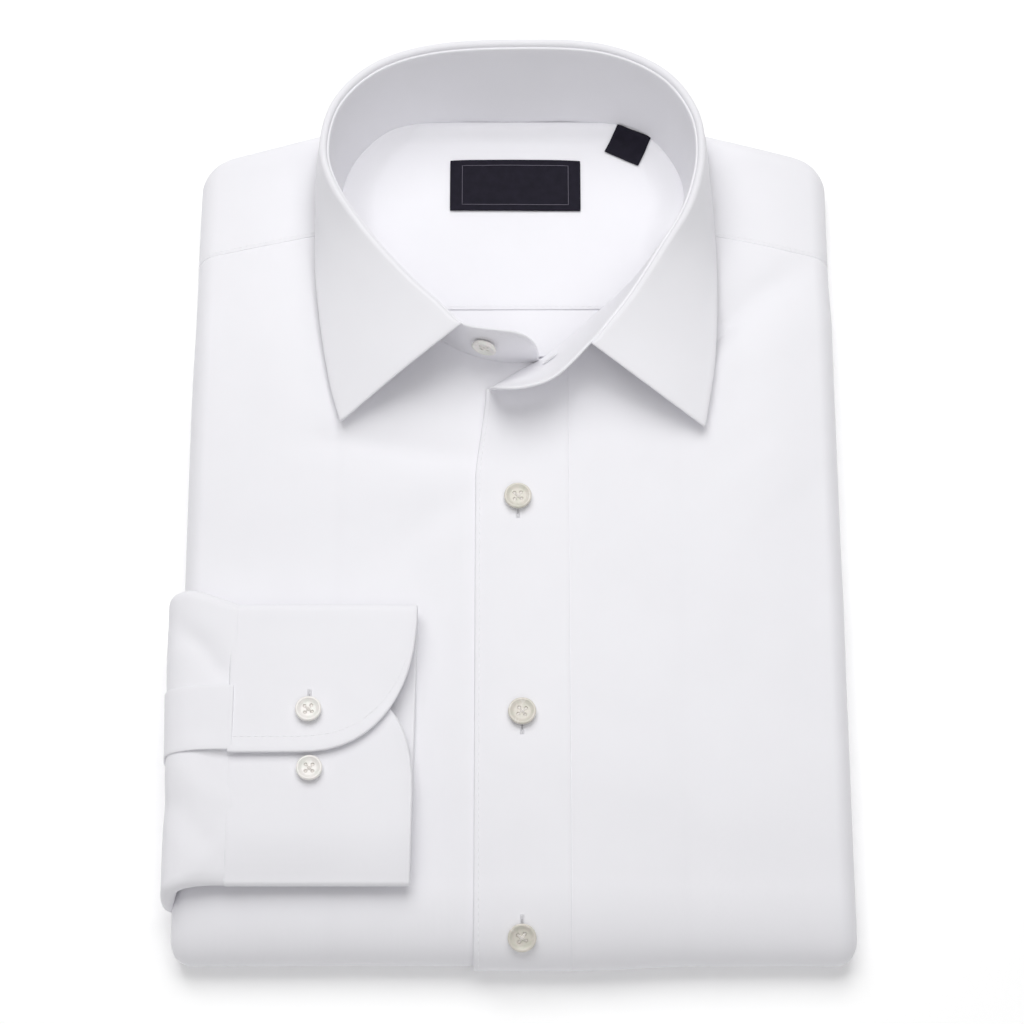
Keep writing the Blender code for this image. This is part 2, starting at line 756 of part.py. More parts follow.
def leaf_section(row):
    """Leaf from the top of the stand, over its roll and down to its free edge."""
    foot, top, edge = seam_point(row), band_top(row), leaf_edge(row)
    up = (top - foot).normalized()
    start = top + up * (SEAM_GAP + ROLL_RISE * 0.3)
    toward = edge - start
    side = (toward - up * toward.dot(up)).normalized()
    middle = start + up * ROLL_RISE + side * ROLL_RADIUS
    turn = math.acos(max(-1.0, min(1.0, toward.normalized().dot(up))))
    section = [start]
    for step in range(5):
        angle = turn * step / 4
        section.append(middle + (up * math.sin(angle) - side * math.cos(angle)) * ROLL_RADIUS)
    crest = section[-1]
    fall = edge - crest
    out = (side * fall.length - fall * side.dot(fall) / fall.length).normalized()
    for share in (0.17, 0.38, 0.6, 0.82, 1.0):
        bulge = out * LEAF_BULGE * math.sin(math.pi * share)
        section.append(mix(crest, edge, share) + bulge)
    return section


def make_leaf(finish):
    grid = [leaf_section(row) for row in rows_between(LEAF_FIRST_ROW, LEAF_LAST_ROW, LEAF_STEPS_PER_ROW)]
    return sheet("collar_leaf", grid, LEAF_WALL, finish, offset=0.0)


# Sleeve end and cuff

def sleeve_frame(row):
    """Middle, outward normal, half height and sag share of the sleeve tube at a row of its run."""
    x, z, half, sag = SLEEVE_RUN[row]
    before, after = SLEEVE_RUN[max(row - 1, 0)], SLEEVE_RUN[min(row + 1, len(SLEEVE_RUN) - 1)]
    along = Vector((after[0] - before[0], 0.0, after[1] - before[1])).normalized()
    return Vector((x, 0.0, z)) / 1000.0, Vector((along.z, 0.0, -along.x)), half / 1000.0, sag


def sagged(point, share):
    """Lets the sleeve follow the body where it thins towards the hem."""
    fall = stack_height(-FLAT_X, SLEEVE_SAG_FROM_Y) - stack_height(-FLAT_X, point.y)
    return point - Vector((0.0, 0.0, fall * share))


def make_sleeve(finish):
    middle_y = (SLEEVE_FAR_Y + SLEEVE_NEAR_Y) / 2
    half_wide = (SLEEVE_FAR_Y - SLEEVE_NEAR_Y) / 2
    rings = []
    for row in range(len(SLEEVE_RUN)):
        middle, out, half, sag = sleeve_frame(row)
        straight = half_wide - half
        ring = []
        for side in (1, -1):
            places = spread(-straight * side, straight * side, 4)[:-1]
            ring += [middle + out * half * side + Vector((0.0, middle_y + place, 0.0)) for place in places]
            for step in range(5):
                angle = math.pi * step / 5
                away = Vector((0.0, middle_y + side * (straight + half * math.sin(angle)), 0.0))
                ring.append(middle + out * half * side * math.cos(angle) + away)
        rings.append([sagged(point, sag) for point in ring])
    return sheet("sleeve", rings, SLEEVE_WALL, finish, closed=True)


def make_gauntlet(finish):
    """Sleeve placket, a strip that lies on the sleeve from the cuff round the side fold."""
    rows = []
    for row in range(GAUNTLET_ROWS):
        middle, out, half, sag = sleeve_frame(row)
        face = middle + out * (half + GAP + GAUNTLET_WALL)
        places = spread(GAUNTLET_NEAR_Y, GAUNTLET_FAR_Y, 3)
        rows.append([sagged(face + Vector((0.0, y, 0.0)), sag) for y in places])
    return sheet("sleeve_placket", rows, GAUNTLET_WALL, finish)


def cuff_corner(x):
    """How far the rounded corner takes the strip's end back at x."""
    share = (x - (CUFF_WRIST_X - CUFF_CORNER_WIDE)) / CUFF_CORNER_WIDE
    if share <= 0.0:
        return 0.0
    return CUFF_CORNER_LONG * (1.0 - (1.0 - share ** CUFF_CORNER_POWER) ** (1.0 / CUFF_CORNER_POWER))


def half_turn(y, first_z, last_z, side, steps=6):
    """Fold of the strip, between two heights, that bulges to one side."""
    middle, radius = (first_z + last_z) / 2, (last_z - first_z) / 2
    return [(y + side * abs(radius) * math.sin(math.pi * step / steps),
             middle - radius * math.cos(math.pi * step / steps)) for step in range(steps + 1)]


def cuff_path(x):
    """Points of the strip round the cuff at x, from the button end to the buttonhole end."""
    start = CUFF_UNDER_END_Y - cuff_corner(x)
    stop = CUFF_TOP_END_Y + cuff_corner(x)
    path = [(mix(start, CUFF_NEAR_FOLD_Y, share), CUFF_UNDERLAP_Z) for share in (0.0, 0.2, 0.45, 0.75)]
    path += half_turn(CUFF_NEAR_FOLD_Y, CUFF_UNDERLAP_Z, CUFF_BOTTOM_Z, -1)
    path += [(mix(CUFF_NEAR_FOLD_Y, CUFF_FAR_FOLD_Y, share), CUFF_BOTTOM_Z) for share in (0.33, 0.67)]
    path += half_turn(CUFF_FAR_FOLD_Y, CUFF_BOTTOM_Z, CUFF_TOP_Z, 1)
    path += [(mix(CUFF_FAR_FOLD_Y, stop, share), CUFF_TOP_Z) for share in (0.25, 0.55, 0.8, 1.0)]
    return path


def make_cuff(finish):
    straight = spread(CUFF_SEAM_X, CUFF_WRIST_X - CUFF_CORNER_WIDE, 3)
    shares = (0.35, 0.6, 0.78, 0.9, 0.965, 0.995)
    rounded = [CUFF_WRIST_X - CUFF_CORNER_WIDE * (1.0 - share) for share in shares]
    rows = [[Vector((x, y, z)) for y, z in cuff_path(x)] for x in straight + rounded]
    return sheet("cuff", rows, CUFF_WALL, finish, offset=0.0)


# Buttons and labels

def button_profile(radius):
    """Outer profile of half a button, from the middle of its face to the middle of its back."""
    rim = radius - BUTTON_RIM_WIDE
    dish = BUTTON_THICK - BUTTON_DISH
    return ((0.0, dish), (rim - 0.0006, dish), (rim, BUTTON_THICK), (radius - 0.0004, BUTTON_THICK),
            (radius, BUTTON_THICK - 0.0006), (radius - 0.0007, 0.0004), (radius - 0.0017, 0.0), (0.0, 0.0))


def button_mesh(name, diameter):
    """Turned disc with a raised rim and four sewing holes."""
    radius = diameter / 2
    shape = bmesh.new()
    verts = [shape.verts.new((x, 0.0, z)) for x, z in button_profile(radius)]
    edges = [shape.edges.new(pair) for pair in zip(verts, verts[1:])]
    bmesh.ops.spin(shape, geom=verts + edges, cent=(0, 0, 0), axis=(0, 0, 1),
                   angle=2 * math.pi, steps=BUTTON_SIDES, use_merge=True)
    bmesh.ops.remove_doubles(shape, verts=shape.verts, dist=0.00001)
    bmesh.ops.recalc_face_normals(shape, faces=shape.faces)
    mesh = bpy.data.meshes.new(name)
    shape.to_mesh(mesh)
    shape.free()
    blank = bpy.data.objects.new(name, mesh)
    CUTTERS.objects.link(blank)
    drill = bmesh.new()
    for turn in range(4):
        angle = math.pi / 4 + turn * QUARTER
        reach = BUTTON_HOLE_PITCH / math.sqrt(2)
        place = Matrix.Translation((reach * math.cos(angle), reach * math.sin(angle), BUTTON_THICK / 2))
        bmesh.ops.create_cone(drill, cap_ends=True, segments=HOLE_SIDES, radius1=BUTTON_HOLE / 2,
                              radius2=BUTTON_HOLE / 2, depth=2 * BUTTON_THICK, matrix=place)
    holes = cutter(name + "_holes", drill)
    cut(blank, holes)
    evaluated = blank.evaluated_get(bpy.context.evaluated_depsgraph_get())
    drilled = bpy.data.meshes.new_from_object(evaluated)
    bpy.data.objects.remove(blank, do_unlink=True)
    bpy.data.objects.remove(holes, do_unlink=True)
    drilled.name = name
    return drilled


def facing(normal, spin=0.0):
    return normal.to_track_quat("Z", "Y").to_matrix().to_4x4() @ Matrix.Rotation(spin, 4, "Z")


def place_button(name, mesh, finish, seat, normal):
    made = add_object(name, mesh.copy(), finish)
    made.matrix_world = Matrix.Translation(seat + normal * BUTTON_SEAT) @ facing(normal)
    return made


def surface_normal(across, along, depth):
    step = 0.001
    side = cloth_point(across + step, along, depth) - cloth_point(across - step, along, depth)
    up = cloth_point(across, along + step, depth) - cloth_point(across, along - step, depth)
    return side.cross(up).normalized()


def make_buttons(finish):
    front = button_mesh("button_front_shape", BUTTON_DIAMETER)
    small = button_mesh("button_cuff_shape", CUFF_BUTTON_DIAMETER)
    for number, (x, along) in enumerate(FRONT_BUTTONS, start=1):
        across = x - BODY_CENTRE_X
        depth = -lift(across, along)
        seat = cloth_point(across, along, depth)
        place_button(f"button_front_{number}", front, finish, seat, surface_normal(across, along, depth))
    upright = Vector((0.0, 0.0, 1.0))
    top_face = CUFF_TOP_Z + CUFF_WALL / 2
    low_face = CUFF_UNDERLAP_Z + CUFF_WALL / 2
    place_button("button_cuff_1", small, finish, Vector((-0.0801, -0.0912, top_face)), upright)
    place_button("button_cuff_2", small, finish, Vector((-0.0793, -0.1150, low_face)), upright)
    foot, top = seam_point(COLLAR_BUTTON_ROW), band_top(COLLAR_BUTTON_ROW)
    beside = seam_point(COLLAR_BUTTON_ROW + 0.3) - foot
    out = beside.cross(top - foot).normalized()
    out = out if out.y < 0.0 else -out
    place_button("button_collar", small, finish, mix(foot, top, 0.55) + out * BAND_WALL / 2, out)


def label(name, size, centre, turn, finish):
    """Woven label laid on the inner yoke."""
    rows = []
    for down in spread(-0.5, 0.5, 5):
        row = []
        for over in spread(-0.5, 0.5, 6):
            local = Vector((over * size[0], down * size[1]))
            local.rotate(Matrix.Rotation(turn, 2))
            lying = floor_point(centre[0] + local.x, centre[1] + local.y)
            row.append(lying + Vector((0.0, 0.0, LABEL_LIFT + LABEL_WALL)))
        rows.append(row)
    return sheet(name, rows, LABEL_WALL, finish)


def build():
    cotton = material("shirt_cotton", (0.83, 0.83, 0.88), 0.75)
    hidden = material("folded_cotton", (0.80, 0.80, 0.85), 0.80)
    pearl = material("button_pearl", (0.86, 0.82, 0.72), 0.28)
    woven = material("label_weave", (0.02, 0.02, 0.05), 0.65)
    make_core(hidden)
    make_left_front(cotton)
    make_right_front(cotton)
    make_placket(cotton)
    make_yoke_outer(cotton)
    make_yoke_inner(cotton)
    make_back_panel(cotton)
    make_band(cotton)
    make_leaf(cotton)
    make_sleeve(cotton)
    make_gauntlet(cotton)
    make_cuff(cotton)
    make_buttons(pearl)
    label("label_main", MAIN_LABEL, MAIN_LABEL_CENTRE, 0.0, woven)
    label("label_size", SIZE_LABEL, SIZE_LABEL_CENTRE, SIZE_LABEL_TURN, woven)


build()
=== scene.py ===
# %% [markdown]
# # A folded dress shirt
# The shirt lies on its back, folded round a flat stack of its own layers, with the collar standing
# open and one cuff brought round to the front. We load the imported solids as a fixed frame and
# dress each of them in thin cloth. Lengths are in metres: X runs to the right, Y from the folded
# hem to the collar, Z up.

# %% Load the frame
import math

import bmesh
import bpy
import numpy as np
from mathutils import Matrix, Vector, noise


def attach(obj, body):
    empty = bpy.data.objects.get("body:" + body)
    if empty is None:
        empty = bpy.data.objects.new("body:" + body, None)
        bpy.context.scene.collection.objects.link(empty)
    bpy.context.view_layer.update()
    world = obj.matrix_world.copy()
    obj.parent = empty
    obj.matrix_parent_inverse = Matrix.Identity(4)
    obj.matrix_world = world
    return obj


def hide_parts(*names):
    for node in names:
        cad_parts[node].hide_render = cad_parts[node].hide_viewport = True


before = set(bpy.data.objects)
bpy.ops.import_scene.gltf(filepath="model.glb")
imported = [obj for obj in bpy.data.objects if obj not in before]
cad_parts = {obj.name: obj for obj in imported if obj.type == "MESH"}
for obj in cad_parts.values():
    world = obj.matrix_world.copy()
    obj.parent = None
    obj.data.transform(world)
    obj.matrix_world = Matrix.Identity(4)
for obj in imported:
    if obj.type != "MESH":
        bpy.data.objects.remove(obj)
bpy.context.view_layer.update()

# %% [markdown]
# ## Camera
# A long lens, high above the hem, keeps the sides of the shirt nearly parallel. Its distance shows
# in how much wider the hem looks than the shoulders, so distance and lens are set together.

# %% Camera
LOOK_AT = Vector((0.0, 0.0, 0.025))
CAMERA_DISTANCE = 1.415
CAMERA_ELEVATION = math.radians(66)
LENS = 122.06

camera = bpy.data.objects.new("camera", bpy.data.cameras.new("camera"))
bpy.context.collection.objects.link(camera)
away = Vector((0.0, -math.cos(CAMERA_ELEVATION), math.sin(CAMERA_ELEVATION)))
camera.location = LOOK_AT + away * CAMERA_DISTANCE
camera.rotation_euler = (-away).to_track_quat("-Z", "Y").to_euler()
camera.data.lens = LENS
camera.data.sensor_width = 36.0
camera.data.clip_start = 0.05
camera.data.clip_end = 20.0
bpy.context.scene.camera = camera
print("camera at", [round(v, 3) for v in camera.location])

# %% [markdown]
# ## Light
# White cloth on white paper only reads through soft shade. A large panel behind and above the
# collar lets shadows fall towards the viewer, a weaker one fills from the front, a small card opens
# the shade under the collar, and the world gives the even light of a white room.

# %% Light and floor
WORLD_STRENGTH = 0.29
LAMPS = (
    # place, aim, size, watts, cone in degrees
    ((-0.16, 1.15, 2.25), (0.0, 0.0, 0.0), 2.20, 46.0, 180.0),
    ((0.00, -1.50, 2.10), (0.0, 0.0, 0.0), 2.20, 9.6, 180.0),
    ((0.13, -0.23, 0.41), (0.0, 0.055, 0.04), 0.22, 0.023, 50.0),
)


def lamp(number, place, aim, size, watts, cone):
    light = bpy.data.lights.new(f"soft_panel_{number}", "AREA")
    light.size = size
    light.energy = watts
    light.spread = math.radians(cone)
    made = bpy.data.objects.new(light.name, light)
    bpy.context.collection.objects.link(made)
    made.location = place
    made.rotation_euler = (Vector(aim) - Vector(place)).to_track_quat("-Z", "Y").to_euler()


for number, facts in enumerate(LAMPS, start=1):
    lamp(number, *facts)

world = bpy.data.worlds.new("white_room")
bpy.context.scene.world = world
world.use_nodes = True
world.node_tree.nodes["Background"].inputs["Color"].default_value = (1.0, 1.0, 1.0, 1.0)
world.node_tree.nodes["Background"].inputs["Strength"].default_value = WORLD_STRENGTH
bpy.context.scene.view_settings.view_transform = "Standard"


def linked_object(name, mesh):
    made = bpy.data.objects.new(name, mesh)
    bpy.context.collection.objects.link(made)
    return made


paper = bmesh.new()
bmesh.ops.create_grid(paper, x_segments=2, y_segments=2, size=4.0)
floor_mesh = bpy.data.meshes.new("paper_floor")
paper.to_mesh(floor_mesh)
paper.free()
floor = linked_object("paper_floor", floor_mesh)
print("lamps:", len(LAMPS))

# %% [markdown]
# ## Finishes
# Shirt cotton is a fine plain weave, so close that it only breaks up the light. Two crossed sets
# of bands, laid along the cloth's own directions and measured in metres, give its threads, and a
# fine noise varies their height. A picture of cloth would blur close up, while bands stay sharp and
# turn with each panel. The pearl of the buttons is clouded with cream, green and pink under a thin
# clear coat, as the layers of a shell show them.

# %% Material helpers
WAVE_RADIANS = 20.0
WEAVE_WANDER = 0.6
WEAVE_WANDER_SCALE = 0.4
WEAVE_STRENGTH = 0.35
SLUB_SCALE = 420.0
CLOUD_SCALE = 38.0


def finish(name, colour, roughness, **sockets):
    """Principled material with some of its sockets set."""
    made = bpy.data.materials.new(name)
    made.use_nodes = True
    shader = made.node_tree.nodes["Principled BSDF"]
    shader.inputs["Base Color"].default_value = (*colour, 1.0)
    shader.inputs["Roughness"].default_value = roughness
    for socket, value in sockets.items():
        shader.inputs[socket.replace("_", " ")].default_value = value
    return made


def add_node(tree, kind, **values):
    """Node with its properties and input sockets set by name."""
    made = tree.nodes.new(kind)
    for key, value in values.items():
        if key in made.inputs:
            made.inputs[key].default_value = value
        else:
            setattr(made, key, value)
    return made


def clouded(material, stops, **noise_sockets):
    """Colours a material in slow clouds that run through a few stops of colour."""
    tree = material.node_tree
    place = add_node(tree, "ShaderNodeTexCoord")
    cloud = add_node(tree, "ShaderNodeTexNoise", **noise_sockets)
    tree.links.new(place.outputs["Object"], cloud.inputs["Vector"])
    ramp = add_node(tree, "ShaderNodeValToRGB")
    while len(ramp.color_ramp.elements) < len(stops):
        ramp.color_ramp.elements.new(0.5)
    for element, (position, colour) in zip(ramp.color_ramp.elements, stops):
        element.position = position
        element.color = (*colour, 1.0)
    tree.links.new(cloud.outputs["Fac"], ramp.inputs["Fac"])
    tree.links.new(ramp.outputs["Color"], tree.nodes["Principled BSDF"].inputs["Base Color"])


def woven(material, thread_pitch, depth, dark, light, cloud_scale=CLOUD_SCALE):
    """Gives a material crossed threads in its cloth directions, and slightly uneven colour."""
    tree = material.node_tree
    place = add_node(tree, "ShaderNodeTexCoord")
    band_scale = math.tau / WAVE_RADIANS / thread_pitch
    heights = []
    for direction in ("X", "Y"):
        band = add_node(tree, "ShaderNodeTexWave", bands_direction=direction, Scale=band_scale)
        band.inputs["Distortion"].default_value = WEAVE_WANDER
        band.inputs["Detail Scale"].default_value = WEAVE_WANDER_SCALE
        tree.links.new(place.outputs["UV"], band.inputs["Vector"])
        heights.append(band.outputs["Fac"])
    weave = add_node(tree, "ShaderNodeMath", operation="MULTIPLY")
    tree.links.new(heights[0], weave.inputs[0])
    tree.links.new(heights[1], weave.inputs[1])
    slub = add_node(tree, "ShaderNodeTexNoise", Scale=SLUB_SCALE, Detail=3.0)
    tree.links.new(place.outputs["UV"], slub.inputs["Vector"])
    total = add_node(tree, "ShaderNodeMath", operation="ADD")
    tree.links.new(weave.outputs["Value"], total.inputs[0])
    tree.links.new(slub.outputs["Fac"], total.inputs[1])
    bump = add_node(tree, "ShaderNodeBump", Strength=WEAVE_STRENGTH, Distance=depth)
    tree.links.new(total.outputs["Value"], bump.inputs["Height"])
    tree.links.new(bump.outputs["Normal"], tree.nodes["Principled BSDF"].inputs["Normal"])
    clouded(material, ((0.25, dark), (0.75, light)), Scale=cloud_scale, Detail=4.0)
    return material


# %% Materials
THREAD_PITCH = 0.00045
WEAVE_DEPTH = 0.00006
COTTON_DARK = (0.892, 0.886, 0.921)
COTTON_LIGHT = (0.907, 0.901, 0.936)
LABEL_PITCH = 0.00038
LABEL_DEPTH = 0.00008
LABEL_CLOUD_SCALE = 300.0
LABEL_DARK = (0.006, 0.005, 0.012)
LABEL_LIGHT = (0.011, 0.009, 0.019)

COTTON = woven(
    finish("shirt_cotton_look", COTTON_LIGHT, 0.78, Sheen_Weight=0.12, Sheen_Roughness=0.5),
    THREAD_PITCH, WEAVE_DEPTH, COTTON_DARK, COTTON_LIGHT)
INNER_COTTON = woven(
    finish("folded_cotton_look", COTTON_LIGHT, 0.82),
    THREAD_PITCH, WEAVE_DEPTH, COTTON_DARK, COTTON_LIGHT)
LABEL = woven(
    finish("label_weave_look", LABEL_LIGHT, 0.75, Specular_IOR_Level=0.2),
    LABEL_PITCH, LABEL_DEPTH, LABEL_DARK, LABEL_LIGHT, LABEL_CLOUD_SCALE)
LABEL_LINE = finish("label_line_look", (0.16, 0.15, 0.19), 0.6)
THREAD = finish("sewing_thread_look", (0.93, 0.925, 0.955), 0.7, Sheen_Weight=0.3)
BUTTON_THREAD = finish("button_thread_look", (0.92, 0.88, 0.84), 0.7, Sheen_Weight=0.3)
# The slit's grey is painted shade. It stands for the dark inside the cut.
SLIT_SHADE = finish("buttonhole_painted_shade", (0.55, 0.54, 0.56), 0.9)
# Paper a little over full white burns out in the light, as a studio floor does.
PAPER = finish("paper_look", (1.16, 1.16, 1.16), 0.9)
floor_mesh.materials.append(PAPER)

# %% Pearl of the buttons
PEARL_CLOUDS = {"Scale": 210.0, "Detail": 3.0, "Distortion": 1.2}
PEARL_STOPS = (
    (0.30, (0.62, 0.61, 0.52)),
    (0.45, (0.69, 0.67, 0.59)),
    (0.58, (0.72, 0.67, 0.60)),
    (0.72, (0.80, 0.78, 0.72)),
)
PALE_STOPS = (
    (0.30, (0.84, 0.84, 0.79)),
    (0.45, (0.89, 0.89, 0.84)),
    (0.58, (0.91, 0.87, 0.84)),
    (0.72, (0.95, 0.95, 0.92)),
)

PEARL = finish("button_pearl_look", (0.80, 0.78, 0.70), 0.40, Coat_Weight=0.25, Coat_Roughness=0.2)
PALE_PEARL = finish("pale_pearl_look", (0.88, 0.87, 0.83), 0.36, Coat_Weight=0.3, Coat_Roughness=0.2)
clouded(PEARL, PEARL_STOPS, **PEARL_CLOUDS)
clouded(PALE_PEARL, PALE_STOPS, **PEARL_CLOUDS)
print("finishes:", len(bpy.data.materials))

# %% [markdown]
# ## The folded surface
# Every panel of the body lies on one surface: a flat top that rolls over the sides, the shoulders
# and the hem. We describe it in the cloth's own coordinates, the length across and the length
# along, so that a panel is a plain grid there and follows every roll by itself. Simulating the
# folding would give the same form less exactly.

# %% Sizes of the folded body
BODY_HALF_WIDTH = 0.1342
BODY_CENTRE_X = 0.0007
HEM_Y = -0.1865
SHOULDER_Y = 0.1925
SIDE_ROUND = 0.008
HEM_ROUND_TOP = 0.030
HEM_ROUND_UNDER = 0.010
SHOULDER_ROUND = 0.010
HEM_CORNER = 0.009
SHOULDER_CORNER = 0.014
SHOULDER_SLOPE = 0.27
SLOPE_STARTS_AT_X = 0.050
SLOPE_EASING = 0.008
SLOPE_FROM_Y = 0.060
SLOPE_TO_Y = 0.185
STACK_HEIGHT = 0.0270
HEM_FALL = 0.0040
HEM_FALL_FROM = 0.100
SHOULDER_FALL = 0.0110
SHOULDER_FALL_FROM = 0.050
SIDE_FALL = 0.0025
RIM_SHARE = 0.42
SIDE_WRAP = math.radians(72)
FLAT_X = BODY_HALF_WIDTH - SIDE_ROUND
HEM_FLAT_Y = HEM_Y + HEM_ROUND_TOP
SHOULDER_FLAT_Y = SHOULDER_Y - SHOULDER_ROUND
QUARTER = math.pi / 2
YOKE_SEAM = 0.1364
YOKE_SEAM_DROP = 0.0024
YOKE_SEAM_DROP_FROM = 0.082
TAIL_END_Y = 0.1513
YOKE_UNDER_Y = 0.152
PLACKET_LEFT_X = -0.0152
PLACKET_RIGHT_X = 0.0222
PLACKET_DRAWN_IN = 0.0042
PLACKET_DRAWN_FROM = 0.012
PLACKET_DRAWN_TO = 0.055
UNDERLAP_X = 0.0110
PLACKET_LIFT = 0.0020
LIFT_ENDS_X = 0.075
print("folded body, in mm:", round(2000 * BODY_HALF_WIDTH), "x", round(1000 * (SHOULDER_Y - HEM_Y)))

# %% Steps and heights


def ease(start, stop, value):
    """Smooth step from 0 at start to 1 at stop."""
    share = min(max((value - start) / (stop - start), 0.0), 1.0)
    return share * share * (3.0 - 2.0 * share)


def mix(first, second, share):
    return first + (second - first) * share


def spread(first, last, count):
    return [mix(first, last, step / (count - 1)) for step in range(count)]


def spaced(first, last, step):
    """Evenly spaced values between two ends, about one step apart."""
    return spread(first, last, max(2, round(abs(last - first) / step) + 1))


def stack_height(x, y):
    height = STACK_HEIGHT
    height -= HEM_FALL * ease(HEM_FALL_FROM, -HEM_Y, -y)
    height -= SHOULDER_FALL * ease(SHOULDER_FALL_FROM, SHOULDER_FLAT_Y, y)
    return height - SIDE_FALL * (abs(x) / BODY_HALF_WIDTH) ** 4


# %% Rolls and corners
def fold_over(beyond, rim, round_top, round_under):
    """Plan base, radius, angle and side of cloth that runs a length beyond the flat top."""
    top_arc = round_top * QUARTER
    under_arc = round_under * QUARTER
    if beyond <= 0.0:
        return rim - round_top + beyond, 0.0, 0.0, False
    if beyond <= top_arc:
        return rim - round_top, round_top, beyond / round_top, False
    beyond -= top_arc
    if beyond <= under_arc:
        return rim - round_under, round_under, QUARTER - beyond / round_under, True
    return rim - round_under - (beyond - under_arc), 0.0, 0.0, True


def round_corner(x, y, rim_x, rim_y, corner):
    """Draws a point of a square corner into a round one."""
    over_x = (abs(x) - (rim_x - corner)) / corner
    over_y = (abs(y) - (rim_y - corner)) / corner
    if over_x <= 0.0 or over_y <= 0.0:
        return x, y
    drawn_x = over_x * math.sqrt(max(1.0 - over_y * over_y / 2.0, 0.0))
    drawn_y = over_y * math.sqrt(max(1.0 - over_x * over_x / 2.0, 0.0))
    new_x = math.copysign(rim_x - corner + corner * drawn_x, x)
    new_y = math.copysign(rim_y - corner + corner * drawn_y, y)
    return new_x, new_y


def shoulder_drop(x, y):
    beyond = max(0.0, abs(x) - SLOPE_STARTS_AT_X)
    drop = SHOULDER_SLOPE * beyond * beyond / (beyond + SLOPE_EASING)
    return drop * ease(SLOPE_FROM_Y, SLOPE_TO_Y, y)


# %% The cloth surface
def cloth_point(across, along, depth=0.0):
    """Point of the folded body's cloth, at a length across, a length along and a depth inward."""
    if along >= 0.0:
        base_y, radius_y, angle_y, under = fold_over(
            along - SHOULDER_FLAT_Y, SHOULDER_Y, SHOULDER_ROUND, SHOULDER_ROUND)
        sign_y, corner, rim_y = 1.0, SHOULDER_CORNER, SHOULDER_Y
    else:
        base_y, radius_y, angle_y, under = fold_over(
            HEM_FLAT_Y - along, -HEM_Y, HEM_ROUND_TOP, HEM_ROUND_UNDER)
        sign_y, corner, rim_y = -1.0, HEM_CORNER, -HEM_Y
    angle_x = max(0.0, abs(across) - FLAT_X) / SIDE_ROUND
    x = math.copysign(min(abs(across), FLAT_X), across)
    height = stack_height(x, sign_y * base_y)
    rim_z = RIM_SHARE * height
    level = math.cos(angle_x) * math.cos(angle_y)
    if angle_x > 0.0:
        x += math.copysign((SIDE_ROUND - depth) * math.sin(angle_x), across)
    y = base_y
    if angle_y > 0.0:
        y += (radius_y - depth) * math.sin(angle_y)
    x, y = round_corner(x, y, BODY_HALF_WIDTH - depth, rim_y - depth, corner)
    y *= sign_y
    if under:
        z = rim_z * (1.0 - level) + depth * level
    else:
        z = rim_z + (height - rim_z - depth) * level
    return Vector((x + BODY_CENTRE_X, y - shoulder_drop(x, y), z))


def cloth_along(x, y):
    """Length along the cloth of a place on the top, given in plan."""
    square_y = y
    for _ in range(6):
        square_y = y + shoulder_drop(x, square_y)
    if square_y <= SHOULDER_FLAT_Y:
        return square_y
    share = min((square_y - SHOULDER_FLAT_Y) / SHOULDER_ROUND, 0.995)
    return SHOULDER_FLAT_Y + SHOULDER_ROUND * math.asin(share)


def top_point(x, y, depth=0.0):
    return cloth_point(x - BODY_CENTRE_X, cloth_along(x - BODY_CENTRE_X, y), depth)


HEM_TOP_END = HEM_FLAT_Y - HEM_ROUND_TOP * QUARTER
HEM_UNDER_END = HEM_TOP_END - HEM_ROUND_UNDER * QUARTER
TAIL_END = HEM_UNDER_END - (TAIL_END_Y - HEM_Y - HEM_ROUND_UNDER)
SHOULDER_TOP_END = SHOULDER_FLAT_Y + SHOULDER_ROUND * QUARTER
SHOULDER_UNDER_END = SHOULDER_TOP_END + SHOULDER_ROUND * QUARTER
YOKE_UNDER_END = SHOULDER_UNDER_END + (SHOULDER_FLAT_Y - YOKE_UNDER_Y)


def yoke_seam(across):
    """Length along of the yoke's front seam, a little lower towards the side."""
    share = max(abs(across) - YOKE_SEAM_DROP_FROM, 0.0) / (BODY_HALF_WIDTH - YOKE_SEAM_DROP_FROM)
    return YOKE_SEAM - YOKE_SEAM_DROP * share ** 1.5


def lift(across, along):
    """How far the right front stands over the left one that runs under it."""
    near = 1.0 - ease(PLACKET_RIGHT_X, LIFT_ENDS_X, across)
    return PLACKET_LIFT * near * ease(HEM_UNDER_END, HEM_TOP_END, along)


print("cloth from hem to shoulder, in mm:", round(1000 * (SHOULDER_TOP_END - HEM_TOP_END), 1))
